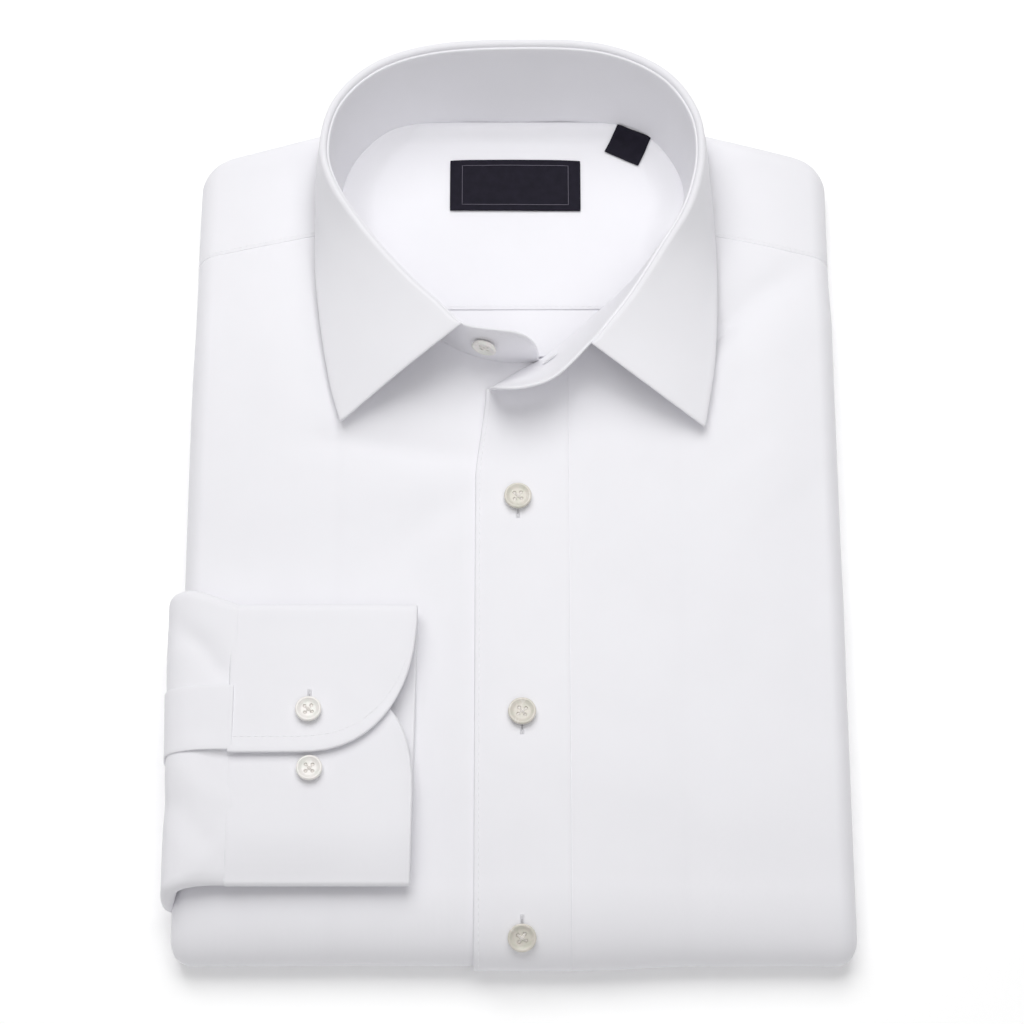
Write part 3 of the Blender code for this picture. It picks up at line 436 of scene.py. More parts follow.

# %% [markdown]
# ## Creases
# Pressed cloth still carries a few soft folds: one runs from the collar to the shoulder, others
# under the leaf tips and beside the cuff. Each is a straight line in plan with a width and a
# height, which fades towards its ends and never runs quite evenly. Placing them one by one puts
# them where the real shirt shows them, which a simulation would not.

# %% Creases of the body
CREASES = (
    # start x, start y, end x, end y, half width, height, all in millimetres
    (80.0, 79.0, 119.0, 114.0, 6.5, -2.1),
    (71.0, 70.0, 91.0, 88.0, 6.0, -1.8),
    (73.0, 95.0, 104.0, 128.0, 8.0, 0.6),
    (100.0, 70.0, 130.0, 96.0, 12.0, 0.9),
    (84.0, 46.0, 100.0, 62.0, 9.0, -0.6),
    (-80.0, 32.0, -18.0, 24.0, 7.5, -2.2),
    (-74.0, 47.0, -26.0, 46.0, 8.0, 0.5),
    (-50.0, -20.0, -17.0, 7.0, 7.0, -1.0),
    (-72.0, 4.0, -34.0, 14.0, 11.0, 0.8),
    (-28.5, -36.0, -30.0, -150.0, 8.5, -1.5),
    (-19.5, 20.0, -19.5, -60.0, 4.0, 0.5),
    (98.0, 24.0, 114.0, 10.0, 18.0, 1.0),
    (38.0, -30.0, 58.0, -56.0, 14.0, -0.9),
    (60.0, -4.0, 90.0, -38.0, 16.0, 0.8),
    (70.0, -64.0, 118.0, -94.0, 20.0, -0.6),
    (40.0, -118.0, 100.0, -134.0, 14.0, 0.6),
    (-118.0, 104.0, -108.0, 24.0, 12.0, -0.6),
    (-96.0, 76.0, -92.0, -6.0, 14.0, 0.7),
    (122.0, 46.0, 120.0, -120.0, 7.0, -0.5),
    (-110.0, 150.0, -94.0, 170.0, 9.0, -0.5),
    (98.0, 152.0, 112.0, 168.0, 9.0, -0.5),
)
UNDER_CREASES = (
    (-90.0, 40.0, 60.0, 70.0, 14.0, 0.5),
    (-60.0, -80.0, 90.0, -60.0, 18.0, -0.4),
    (-100.0, -150.0, -30.0, 120.0, 16.0, 0.4),
)
UNDER_CALM = 0.030
CREASE_REACH = 0.35
CREASE_FADE_IN = 0.25
CREASE_FADE_OUT = 0.75
CREASE_WANDER = 0.35
CREASE_SIDE = 4.0
RIPPLE = 0.00040
MM = 0.001


def crease_height(x, y, table):
    """Sum of the soft folds at a place in plan, in metres."""
    total = 0.0
    for x0, y0, x1, y1, wide, height in table:
        run = Vector((x1 - x0, y1 - y0))
        off = Vector((x / MM - x0, y / MM - y0))
        share = off.dot(run) / run.length_squared
        if share < -CREASE_REACH or share > 1.0 + CREASE_REACH:
            continue
        aside = (off.x * run.y - off.y * run.x) / run.length
        if abs(aside) > CREASE_SIDE * wide:
            continue
        wander = wide * CREASE_WANDER * noise.noise(Vector((share * 2.3, x0 * 0.1, y0 * 0.1)))
        fade = ease(-CREASE_REACH, CREASE_FADE_IN, share)
        fade *= 1.0 - ease(CREASE_FADE_OUT, 1.0 + CREASE_REACH, share)
        total += height * fade * math.exp(-((aside - wander) / wide) ** 2)
    return total * MM


def ripple(x, y):
    """Very slow unevenness of the pressed cloth, in metres."""
    return RIPPLE * noise.noise(Vector((x * 21.0, y * 17.0, 0.4)))


def body_relief(across, along):
    """How far the cloth stands off the smooth surface. Underneath its creases only go inwards."""
    place = cloth_point(across, along)
    if along >= HEM_TOP_END:
        return crease_height(place.x, place.y, CREASES) + ripple(place.x, place.y)
    calm = 1.0 - ease(HEM_TOP_END, (HEM_TOP_END + HEM_UNDER_END) / 2, along)
    pressed = ease(HEM_UNDER_END, HEM_UNDER_END - UNDER_CALM, along)
    inward = abs(crease_height(place.x, place.y, UNDER_CREASES))
    return ripple(place.x, place.y) * calm - inward * pressed


print("creases:", len(CREASES), "and underneath:", len(UNDER_CREASES))

# %% [markdown]
# ## Making cloth
# A piece of cloth is a grid of points on its outer face. We step inward along the normals for its
# inner face and join the two with a rounded edge, as a turned seam has. Building the edge here,
# in place of a thickness modifier, keeps it round on every side and the mesh closed. Each piece
# also keeps its grid, so that stitches can be laid on it later.

# %% Grid measures
def grid_normals(points, closed=False):
    """Unit normals of a grid of points, by central differences."""
    if closed:
        over = np.roll(points, -1, axis=1) - np.roll(points, 1, axis=1)
    else:
        over = np.gradient(points, axis=1)
    down = np.gradient(points, axis=0)
    normals = np.cross(over, down)
    return normals / np.maximum(np.linalg.norm(normals, axis=2, keepdims=True), 1e-12)


def cloth_lengths(points, axis):
    """Running length along one direction of a grid, from its first line."""
    steps = np.linalg.norm(np.diff(points, axis=axis), axis=2)
    first = np.zeros((1, points.shape[1])) if axis == 0 else np.zeros((points.shape[0], 1))
    return np.concatenate([first, np.cumsum(steps, axis=axis)], axis=axis)


def border(rows, columns):
    """Grid places round the open edge, in order."""
    ring = [(0, c) for c in range(columns - 1)]
    ring += [(r, columns - 1) for r in range(rows - 1)]
    ring += [(rows - 1, c) for c in range(columns - 1, 0, -1)]
    ring += [(r, 0) for r in range(rows - 1, 0, -1)]
    return ring


# %% Cloth builder
EDGE_ANGLES = (45, 90, 135)
PIECES = {}


def cloth(name, rows, thickness, node, look=COTTON, closed=False, level=0.0):
    """Thin closed cloth from the rows of its outer face.

    level is the share of the thickness that lies outside the given points.
    """
    points = np.array([[tuple(point) for point in row] for row in rows])
    normals = grid_normals(points, closed)
    outer = points + normals * thickness * level
    inner = outer - normals * thickness
    count_rows, count_columns = points.shape[:2]
    mesh_points = [outer.reshape(-1, 3), inner.reshape(-1, 3)]
    size = count_rows * count_columns

    def at(row, column):
        return row * count_columns + column % count_columns

    faces = []
    wide = count_columns if closed else count_columns - 1
    for row in range(count_rows - 1):
        for column in range(wide):
            quad = (at(row, column), at(row, column + 1),
                    at(row + 1, column + 1), at(row + 1, column))
            faces.append(quad)
            faces.append(tuple(place + size for place in reversed(quad)))
    if closed:
        rings = [[(0, c) for c in range(count_columns)],
                 [(count_rows - 1, c) for c in range(count_columns - 1, -1, -1)]]
    else:
        rings = [border(count_rows, count_columns)]
    total = 2 * size
    for ring in rings:
        edge = np.array([outer[place] for place in ring])
        normal = np.array([normals[place] for place in ring])
        run = np.roll(edge, -1, axis=0) - np.roll(edge, 1, axis=0)
        out = np.cross(run, normal)
        out /= np.maximum(np.linalg.norm(out, axis=1, keepdims=True), 1e-12)
        middle = edge - normal * thickness / 2
        circles = [[at(*place) for place in ring]]
        for angle in EDGE_ANGLES:
            turn = math.radians(angle)
            circle = middle + (normal * math.cos(turn) + out * math.sin(turn)) * thickness / 2
            mesh_points.append(circle)
            circles.append(list(range(total, total + len(ring))))
            total += len(ring)
        circles.append([at(*place) + size for place in ring])
        for near, far in zip(circles, circles[1:]):
            for step in range(len(ring)):
                after = (step + 1) % len(ring)
                faces.append((near[after], near[step], far[step], far[after]))
    verts = np.concatenate(mesh_points)
    mesh = bpy.data.meshes.new(name)
    mesh.from_pydata([tuple(v) for v in verts], [], faces)
    over_down = [cloth_lengths(points, 1), cloth_lengths(points, 0)]
    lengths = np.stack(over_down, axis=2).reshape(-1, 2)
    flat = np.zeros((len(verts), 2))
    flat[:size] = lengths
    flat[size:2 * size] = lengths
    flat[2 * size:] = verts[2 * size:, :2]
    layer = mesh.uv_layers.new(name="cloth")
    corners = np.array([loop.vertex_index for loop in mesh.loops])
    layer.data.foreach_set("uv", flat[corners].ravel())
    mesh.shade_smooth()
    mesh.materials.append(look)
    made = linked_object(name, mesh)
    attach(made, "root")
    if node:
        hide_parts(node)
    PIECES[name] = {"object": made, "outer": outer, "normals": normals,
                    "over": cloth_lengths(outer, 1), "down": cloth_lengths(outer, 0)}
    area = 0.5 * sum(face.area for face in mesh.polygons)
    print(f"{name}: {len(mesh.polygons)} faces, {area * 10000:.0f} cm2 of cloth")


# %% [markdown]
# ## Collar lines
# The collar is the one part that stands up. Three lines describe it: where the stand meets the
# body, the stand's top edge, and the free edge of the leaf. They are given at matching places
# round the neck, and smooth curves run between them.

# %% Collar table
COLLAR = (
    # seam x, seam y, top x, top y, top z, edge x, edge y, edge z, in millimetres
    (10.5, 67.8, 10.0, 67.6, 52.0, None, None, None),
    (-4.0, 68.0, -6.0, 68.4, 54.0, None, None, None),
    (-18.0, 72.0, -20.0, 71.4, 53.5, -70.2, 38.7, 30.8),
    (-31.0, 79.8, -29.5, 80.8, 53.0, -75.0, 57.0, 30.2),
    (-45.0, 93.5, -43.8, 95.8, 52.0, -79.4, 84.0, 29.4),
    (-59.0, 110.5, -60.0, 116.5, 51.0, -82.2, 111.0, 27.2),
    (-71.0, 131.0, -73.0, 138.0, 50.5, -82.8, 135.0, 24.0),
    (-73.5, 150.0, -77.3, 156.0, 50.0, -82.9, 158.0, 21.2),
    (-68.0, 168.5, -72.5, 176.5, 50.0, -79.0, 186.0, 15.0),
    (-54.0, 183.8, -57.0, 193.0, 50.0, -62.5, 205.0, 11.5),
    (-33.0, 190.3, -33.0, 201.8, 50.0, -35.0, 213.0, 10.5),
    (2.0, 191.0, 2.0, 204.3, 50.0, 2.0, 215.5, 10.0),
    (37.0, 190.3, 37.0, 202.3, 50.0, 39.0, 213.5, 10.5),
    (58.0, 182.0, 62.0, 190.8, 50.0, 67.5, 202.5, 11.5),
    (70.0, 167.0, 75.0, 172.5, 50.0, 81.5, 183.0, 15.0),
    (74.0, 150.0, 77.5, 152.0, 50.0, 83.9, 157.0, 21.2),
    (67.0, 131.0, 72.0, 129.0, 50.0, 85.1, 133.0, 24.4),
    (53.5, 111.0, 61.0, 108.5, 50.0, 85.5, 110.0, 27.8),
    (43.0, 98.0, 49.0, 88.0, 50.0, 84.9, 87.0, 29.6),
    (34.5, 89.0, 39.5, 74.5, 50.0, 83.2, 63.0, 30.6),
    (26.5, 80.5, 32.3, 65.4, 49.5, 78.8, 36.0, 31.4),
    (14.0, 69.0, 18.0, 50.3, 49.0, None, None, None),
    (3.0, 62.0, 5.0, 44.8, 49.5, None, None, None),
    (-8.5, 54.0, -9.6, 43.5, 50.5, None, None, None),
)
LAST_ROW = len(COLLAR) - 1
LEAF_FIRST_ROW = 2
LEAF_LAST_ROW = 20
LEFT_FRONT_ROWS = 6
RIGHT_FRONT_ROWS = 16
YOKE_FIRST_ROW = 7
YOKE_LAST_ROW = 15
BAND_FOOT_GAP = -0.0008
SEAM_GAP = 0.0008
LIFTED_ROWS = 3
print("collar rows:", len(COLLAR))


# %% Lines of the collar
def collar_line(columns, row):
    """Smooth line through some columns of the collar's table, at a fractional row, in metres."""
    index = min(int(row), LAST_ROW - 1)
    share = row - index

    def entry(number):
        values = [COLLAR[min(max(number, 0), LAST_ROW)][column] for column in columns]
        return None if None in values else Vector(values) * MM

    second, third = entry(index), entry(index + 1)
    if second is None or third is None:
        return second or third
    first = entry(index - 1) or second
    fourth = entry(index + 2) or third
    cube = (second - third) * 3.0 + fourth - first
    square = first * 2.0 - second * 5.0 + third * 4.0 - fourth
    slope = (third - first) * share * 0.5
    return second + slope + (square * share + cube * share * share) * share * 0.5


def rows_between(first, last, steps):
    return [first + step / steps for step in range((last - first) * steps + 1)]


def seam_place(row):
    return collar_line((0, 1), row)


def seam_point(row, gap=SEAM_GAP):
    place = seam_place(row)
    raised = PLACKET_LIFT * ease(RIGHT_FRONT_ROWS, RIGHT_FRONT_ROWS + LIFTED_ROWS, row)
    return Vector((place.x, place.y, top_point(place.x, place.y).z + raised + gap))


def band_top(row):
    return collar_line((2, 3, 4), row)


def leaf_edge(row):
    return collar_line((5, 6, 7), row)


def neck_y(x, first, last):
    """Plan y of the neck seam at x, on the stretch between two rows of the collar."""
    places = [seam_place(row) for row in rows_between(first, last, 12)]
    if places[0].x > places[-1].x:
        places.reverse()
    if x <= places[0].x:
        return places[0].y
    for before, after in zip(places, places[1:]):
        if x <= after.x:
            return mix(before.y, after.y, (x - before.x) / max(after.x - before.x, 1e-9))
    return places[-1].y


neck_ends = [[round(v, 4) for v in seam_place(row)] for row in (0, LAST_ROW)]
print("neck seam runs from", neck_ends[0], "to", neck_ends[1])

# %% [markdown]
# ## Front panels
# The left front runs under the placket and the right front carries it. Both go down over the hem
# fold and up the underside. At the shoulder the yoke is lapped over them, so their top edge dips
# under it by the thickness of the cloth.

# %% Fronts
FRONT_THICK = 0.0007
LAP_DEPTH = 0.0009
YOKE_LAP = 0.0065
SEAM_STEP = 0.0016
GRID_STEP = 0.0030
UNDER_STEP = 0.0085
LEAST_STEP = 0.0006
SIDE_STEPS = 8
TUCKED_WIDE = 0.007
TUCK_INSIDE = 0.0010
TUCK_OUTSIDE = 0.0008
FINE_WIDE = 0.001


# %% Grids of the body
def side_arc(side):
    """Columns that carry a panel round its side fold, from the flat outward."""
    steps = range(SIDE_STEPS + 1)
    return [side * (FLAT_X + SIDE_ROUND * SIDE_WRAP * step / SIDE_STEPS) for step in steps]


def front_top(across, first, last, outer_row):
    """Length along of a front's top edge: the neck seam, or the lap under the yoke."""
    x = across + BODY_CENTRE_X
    lapped = yoke_seam(across) + YOKE_LAP
    if abs(x) >= abs(seam_place(outer_row).x):
        return lapped
    return min(cloth_along(across, neck_y(x, first, last)), lapped)


def front_lengths(across, start):
    """Lengths down a front from its top edge, round the hem and up the underside."""
    seam = min(yoke_seam(across) + SEAM_STEP, start)
    top = min(yoke_seam(across) - SEAM_STEP, start - LEAST_STEP)
    lengths = spread(start, seam, 4) + spread(seam, top, 4)[1:]
    lengths += spread(top, HEM_FLAT_Y, 96)[1:]
    lengths += spread(HEM_FLAT_Y, HEM_TOP_END, 20)[1:]
    lengths += spread(HEM_TOP_END, HEM_UNDER_END, 9)[1:]
    lengths += spaced(HEM_UNDER_END, TAIL_END, UNDER_STEP)[1:]
    return lengths


def left_lengths(across):
    return front_lengths(across, front_top(across, 0, LEFT_FRONT_ROWS, LEFT_FRONT_ROWS))


def right_lengths(across):
    start = front_top(across, RIGHT_FRONT_ROWS, LAST_ROW, RIGHT_FRONT_ROWS)
    return front_lengths(across, start)


def body_rows(columns, lengths_of, depth_of, shift_of=None):
    """Grid of the folded body's cloth, with its creases, for columns across."""
    spans = [lengths_of(column) for column in columns]
    rows = []
    for number in range(len(spans[0])):
        row = []
        for column, span in zip(columns, spans):
            along = span[number]
            across = column + (shift_of(column, along) if shift_of else 0.0)
            depth = depth_of(across, along) - body_relief(across, along)
            row.append(cloth_point(across, along, depth))
        rows.append(list(reversed(row)))
    return rows


def under_yoke(across, along):
    """Depth that takes a front's edge under the lapped yoke."""
    seam = yoke_seam(across)
    return LAP_DEPTH * ease(seam - SEAM_STEP, seam + SEAM_STEP, along)


def right_depth(across, along):
    """Depth of the right front: tucked under the placket, and lifted over the left front."""
    tucked = 1.0 - ease(PLACKET_RIGHT_X - TUCK_INSIDE, PLACKET_RIGHT_X + TUCK_OUTSIDE, across)
    return under_yoke(across, along) + LAP_DEPTH * tucked - lift(across, along)


# %% Front cloths
left_columns = side_arc(-1)[::-1] + spaced(-FLAT_X, UNDERLAP_X, GRID_STEP)[1:]
right_columns = spread(PLACKET_RIGHT_X - TUCKED_WIDE, PLACKET_RIGHT_X + FINE_WIDE, 7)
right_columns += spaced(PLACKET_RIGHT_X + FINE_WIDE, FLAT_X, GRID_STEP)[1:] + side_arc(1)[1:]
left_rows = body_rows(left_columns, left_lengths, under_yoke)
cloth("front_left_cloth", left_rows, FRONT_THICK, "front_left")
right_rows = body_rows(right_columns, right_lengths, right_depth)
cloth("front_right_cloth", right_rows, FRONT_THICK, "front_right")

# %% [markdown]
# ## Placket
# The placket is a separate strip, folded in at both edges and sewn down the right front. Its free
# edge settles on the left front below it and bends in towards the end of the collar stand.

# %% Placket
PLACKET_THICK = 0.0009
PLACKET_STEP = 0.0016
SETTLE_DEPTH = 0.0008
SETTLE_WIDE = 0.009
SETTLE_FROM = -0.190
SETTLE_TO = -0.150


def placket_shift(across, along):
    """How far the free edge is drawn in towards the end of the collar stand."""
    share = (PLACKET_RIGHT_X - across) / (PLACKET_RIGHT_X - PLACKET_LEFT_X)
    return PLACKET_DRAWN_IN * share * ease(PLACKET_DRAWN_FROM, PLACKET_DRAWN_TO, along)


def placket_depth(across, along):
    """Depth of the placket, whose free edge settles on the left front."""
    settled = 1.0 - ease(PLACKET_LEFT_X, PLACKET_LEFT_X + SETTLE_WIDE, across)
    return -lift(across, along) + SETTLE_DEPTH * settled * ease(SETTLE_FROM, SETTLE_TO, along)


placket_columns = spaced(PLACKET_LEFT_X, PLACKET_RIGHT_X, PLACKET_STEP)
placket_rows = body_rows(placket_columns, right_lengths, placket_depth, placket_shift)
cloth("placket_cloth", placket_rows, PLACKET_THICK, "placket")

# %% [markdown]
# ## Yoke
# The outer yoke covers the shoulders, meets the collar round the back of the neck and turns over
# the shoulder fold to the underside. Its front edges are lapped over the fronts and edge-stitched.

# %% Outer yoke
YOKE_THICK = 0.0007
NECK_COLUMN_GAP = 0.0003
YOKE_LEAST = 0.0005


def yoke_start(across):
    """Length along of the yoke's lower edge: its front seam, or the neck seam."""
    x = across + BODY_CENTRE_X
    if x < seam_place(YOKE_FIRST_ROW).x or x > seam_place(YOKE_LAST_ROW).x:
        return yoke_seam(across)
    return cloth_along(across, neck_y(x, YOKE_FIRST_ROW, YOKE_LAST_ROW))


def yoke_lengths(across):
    start = yoke_start(across)
    top = spread(start, max(SHOULDER_FLAT_Y, start + YOKE_LEAST), 20)
    rolled = spread(top[-1], SHOULDER_TOP_END, 9)[1:]
    under = spread(SHOULDER_TOP_END, SHOULDER_UNDER_END, 9)[1:]
    return top + rolled + under + spaced(SHOULDER_UNDER_END, YOKE_UNDER_END, UNDER_STEP)[1:]


def level_depth(across, along):
    return 0.0


neck_rows = rows_between(YOKE_FIRST_ROW, YOKE_LAST_ROW, 6)
neck_columns = [seam_place(row).x - BODY_CENTRE_X for row in neck_rows]
left_of_neck = side_arc(-1)[::-1]
left_of_neck += spaced(-FLAT_X, neck_columns[0] - NECK_COLUMN_GAP, GRID_STEP)[1:]
right_of_neck = spaced(neck_columns[-1] + NECK_COLUMN_GAP, FLAT_X, GRID_STEP) + side_arc(1)[1:]
yoke_columns = left_of_neck + neck_columns + right_of_neck
yoke_rows = body_rows(yoke_columns, yoke_lengths, level_depth)
cloth("yoke_outer_cloth", [list(reversed(row)) for row in yoke_rows], YOKE_THICK, "yoke_outer")

# %% [markdown]
# ## Inside the neck
# Through the open collar we see the inner yoke, flat in the middle and drawn up to the neck seam,
# and below its seam the top of the back panel. The seam is lapped like those outside.

# %% Inner yoke and back panel
FLOOR_Z = 0.0114
BACK_SEAM_Y = 0.1000
BACK_PANEL_LOW_Y = 0.0780
FLOOR_EDGE_RISE = 0.014
FLOOR_BACK_Y = 0.1910
FLOOR_BACK_SLOPE = 1.3
SEWN_FROM_Y = 0.118
SEWN_TO_Y = 0.138
NECK_CENTRE = (0.0, 0.135)
NECK_FRONT_TUCK = 0.003
NECK_BACK_INSET = 0.0004
FLOOR_WAVE = 0.00035
FLOOR_CALM_EDGE = 0.012
GAP = 0.0003


def neck_outline():
    """Plan outline of the inner yoke: under the fronts' neckline, and inside the seam behind."""
    outline = []
    centre = Vector(NECK_CENTRE)
    for row in rows_between(1, LAST_ROW - 2, 8):
        place = seam_place(row)
        away_from_middle = (place - centre).normalized()
        share = ease(SEWN_FROM_Y, SEWN_TO_Y, place.y)
        outline.append(place + away_from_middle * mix(NECK_FRONT_TUCK, -NECK_BACK_INSET, share))
    return outline


NECK_OUTLINE = neck_outline()


def neck_sides(y):
    crossings = []
    for before, after in zip(NECK_OUTLINE, NECK_OUTLINE[1:]):
        if (before.y - y) * (after.y - y) <= 0.0 and before.y != after.y:
            crossings.append(mix(before.x, after.x, (y - before.y) / (after.y - before.y)))
    return min(crossings), max(crossings)


def floor_height(x, y, left, right):
    edge = min(x - left, right - x, FLOOR_BACK_SLOPE * (FLOOR_BACK_Y - y))
    rise = 1.0 - ease(0.0, FLOOR_EDGE_RISE, edge)
    seam_z = top_point(x, y).z - GAP
    sewn = ease(SEWN_FROM_Y, SEWN_TO_Y, y)
    wave = FLOOR_WAVE * noise.noise(Vector((x * 26.0, y * 24.0, 2.0)))
    wave *= ease(0.0, FLOOR_CALM_EDGE, edge)
    return mix(FLOOR_Z, max(seam_z, FLOOR_Z), rise * sewn) + wave


def floor_point(x, y):
    left, right = neck_sides(y)
    return Vector((x, y, floor_height(x, y, left, right)))


def floor_grid(lengths, shares, raised=0.0):
    rows = []
    for y in lengths:
        left, right = neck_sides(y)
        row = [Vector((mix(left, right, share), y, 0.0)) for share in shares]
        for point in row:
            point.z = floor_height(point.x, y, left, right) + raised
        rows.append(list(reversed(row)))
    return list(reversed(rows))


# %% Cloths inside the neck
INNER_THICK = 0.0006
INNER_STEP = 0.0025
INNER_FINE_STEP = 0.0009
INNER_FINE_FROM_Y = 0.176
INNER_SIDE_SHARE = 0.16
BACK_LAP = 0.0015

inner_top = max(place.y for place in NECK_OUTLINE) - GAP
inner_shares = spread(0.0, INNER_SIDE_SHARE, 14)
inner_shares += spread(INNER_SIDE_SHARE, 1.0 - INNER_SIDE_SHARE, 30)[1:]
inner_shares += spread(1.0 - INNER_SIDE_SHARE, 1.0, 14)[1:]
inner_lengths = spaced(BACK_SEAM_Y, INNER_FINE_FROM_Y, INNER_STEP)
inner_lengths += spaced(INNER_FINE_FROM_Y, inner_top, INNER_FINE_STEP)[1:]
inner_rows = floor_grid(inner_lengths, inner_shares, GAP)
cloth("yoke_inner_cloth", inner_rows, INNER_THICK, "yoke_inner")
back_lengths = spaced(BACK_PANEL_LOW_Y, BACK_SEAM_Y + BACK_LAP, INNER_STEP)
back_rows = floor_grid(back_lengths, spread(0.0, 1.0, 30), -GAP)
cloth("back_panel_cloth", back_rows, INNER_THICK, "back_panel")

# %% [markdown]
# ## Folded layers
# Between the two legs of the fronts the sides show the folded edges of the back and the sleeves.
# Each is a narrow strip doubled over into a lip. They follow the sides with a slight wander, as
# hand-folded layers do. Behind them the solid stack stays as a plain filler that closes the view.

# %% Folded layers
LIP_THICK = 0.0006
LIP_DEEP = 0.013
LIP_BEND_FROM = 0.004
LIP_END = 0.0055
LIP_STEP = 0.0032
LIP_WANDER = 0.0004
LIP_END_INSET = 0.0010
LIP_FADES = (0.010, 0.040, 0.140, 0.166)
LIPS = (
    # height of the lip, half its fold, distance in from the rim, all in millimetres
    (13.1, 0.75, 0.9),
    (11.2, 0.70, 0.5),
    (9.5, 0.65, 1.1),
    (7.9, 0.60, 0.6),
)


def corner_draw(y):
    """How far the body's rounded corners draw its side in at y."""
    corner, over = (SHOULDER_CORNER, y - SHOULDER_Y) if y > 0.0 else (HEM_CORNER, HEM_Y - y)
    over = max(over + corner, 0.0)
    return corner - math.sqrt(corner * corner - over * over)


def lip_rows(side, height, half, inset):
    """Cross-sections of a doubled edge along one side of the body."""
    half *= MM
    hem_out, hem_in, shoulder_in, shoulder_out = LIP_FADES
    rows = []
    for y in spaced(HEM_Y + LIP_END, SHOULDER_Y - LIP_END, LIP_STEP):
        drop = shoulder_drop(BODY_HALF_WIDTH, y)
        fade = ease(HEM_Y + hem_out, HEM_Y + hem_in, y)
        fade *= 1.0 - ease(shoulder_in, shoulder_out, y)
        wander = LIP_WANDER * noise.noise(Vector((y * 14.0, height, side)))
        rim = BODY_HALF_WIDTH - corner_draw(y) - inset * MM - LIP_END_INSET * (1.0 - fade) + wander
        thin = stack_height(BODY_HALF_WIDTH, y) / stack_height(BODY_HALF_WIDTH, 0.0)
        sway = LIP_WANDER * noise.noise(Vector((y * 9.0, height * 3.0, side)))
        z = height * MM * thin + sway
        section = [(rim - LIP_DEEP, z + half), (rim - LIP_BEND_FROM, z + half)]
        for angle in spread(0.0, math.pi, 7):
            section.append((rim - half * (1.0 - math.sin(angle)), z + half * math.cos(angle)))
        section += [(rim - LIP_BEND_FROM, z - half), (rim - LIP_DEEP, z - half)]
        row = [Vector((BODY_CENTRE_X + side * x, y - drop, up)) for x, up in section]
        rows.append(row if side > 0 else list(reversed(row)))
    return rows


# %% Lips and filler
FILLER_SCALE = (0.985, 0.99, 0.985, 1.0)

for side, side_name in ((-1, "left"), (1, "right")):
    for number, facts in enumerate(LIPS, start=1):
        name = f"fold_{side_name}_{number}"
        cloth(name, lip_rows(side, *facts), LIP_THICK, None, INNER_COTTON)

filler_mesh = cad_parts["folded_layers"].data.copy()
filler_mesh.materials.clear()
filler_mesh.materials.append(INNER_COTTON)
filler_mesh.transform(Matrix.Diagonal(FILLER_SCALE))
filler = linked_object("folded_stack", filler_mesh)
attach(filler, "root")
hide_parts("folded_layers")

# %% [markdown]
# ## Collar
# The stand is stiffened and keeps its curve. The leaf starts just above it, rolls over in a tight
# bend and falls to its free edge, a little hollow under the roll and straight towards the points.
# Both are grids between the collar's lines, with many rows so that the bends stay smooth.

# %% Stand of the collar
BAND_THICK = 0.0014
TAB_END_ROUND = 0.012
TAB_END_LOW = 0.30
TAB_END_POWER = 2.4
BAND_STEPS = 8
FINE_ENDS = (0.0, 0.04, 0.09, 0.16, 0.24, 0.34, 0.45, 0.58, 0.72, 0.86)


def tab_height(row):
    """Share of the stand's height, less towards the two rounded tab ends."""
    height = 1.0
    for end in (0, LAST_ROW):
        reach = (seam_place(row) - seam_place(end)).length
        if abs(row - end) < 2.0 and reach < TAB_END_ROUND:
            share = 1.0 - reach / TAB_END_ROUND
            height = min(height, mix(TAB_END_LOW, 1.0, math.sqrt(1.0 - share ** TAB_END_POWER)))
    return height


band_row_places = list(FINE_ENDS) + rows_between(1, LAST_ROW - 1, BAND_STEPS)
band_row_places += [LAST_ROW - value for value in reversed(FINE_ENDS)]
band_grid = []
for row in band_row_places:
    foot, top = seam_point(row, BAND_FOOT_GAP), band_top(row)
    top = mix(foot, top, tab_height(row))
    band_grid.append([mix(foot, top, share) for share in spread(0.0, 1.0, 17)])
cloth("collar_band_cloth", band_grid, BAND_THICK, "collar_band", level=0.5)

# %% Leaf of the collar
LEAF_THICK = 0.0012
ROLL_RISE = 0.0005
ROLL_RADIUS = 0.0014
LEAF_SET_OUT = 0.0009
LEAF_START_UP = 0.0002
LEAF_BULGE = 0.0013
SIDE_BULGE = 0.0002
LEAF_STEPS = 8
LEAF_HOLLOW = 0.00025
BESIDE_NECK_ROWS = (4.0, 7.0, 14.5, 17.5)
LEAF_FALL_SHARES = spread(0.0, 1.0, 26)[1:]


def leaf_section(row):
    """Leaf from the top of the stand, over its roll and down to its free edge."""
    foot, top, edge = seam_point(row), band_top(row), leaf_edge(row)
    up = (top - foot).normalized()
    toward = edge - top
    side = (toward - up * toward.dot(up)).normalized()
    start = top + side * LEAF_SET_OUT + up * LEAF_START_UP
    toward = edge - start
    middle = start + up * ROLL_RISE + side * ROLL_RADIUS
    turn = math.acos(max(-1.0, min(1.0, toward.normalized().dot(up))))
    section = [start]
    for angle in spread(0.0, turn, 9):
        section.append(middle + (up * math.sin(angle) - side * math.cos(angle)) * ROLL_RADIUS)
    crest = section[-1]
    fall = edge - crest
    across_fall = side + up
    out = (across_fall - fall * across_fall.dot(fall) / fall.length_squared).normalized()
    left_in, left_out, right_out, right_in = BESIDE_NECK_ROWS
    beside_neck = ease(left_in, left_out, row) * (1.0 - ease(right_out, right_in, row))
    bulge = mix(LEAF_BULGE, SIDE_BULGE, beside_neck)
    for share in LEAF_FALL_SHARES:
        hollow = LEAF_HOLLOW * noise.noise(Vector((row * 0.8, share * 3.0, 5.0)))
        raised = (bulge + hollow) * math.sin(math.pi * share)
        section.append(mix(crest, edge, share) + out * raised)
    return section


leaf_places = rows_between(LEAF_FIRST_ROW, LEAF_LAST_ROW, LEAF_STEPS)
leaf_grid = [leaf_section(row) for row in leaf_places]
cloth("collar_leaf_cloth", leaf_grid, LEAF_THICK, "collar_leaf", level=0.5)

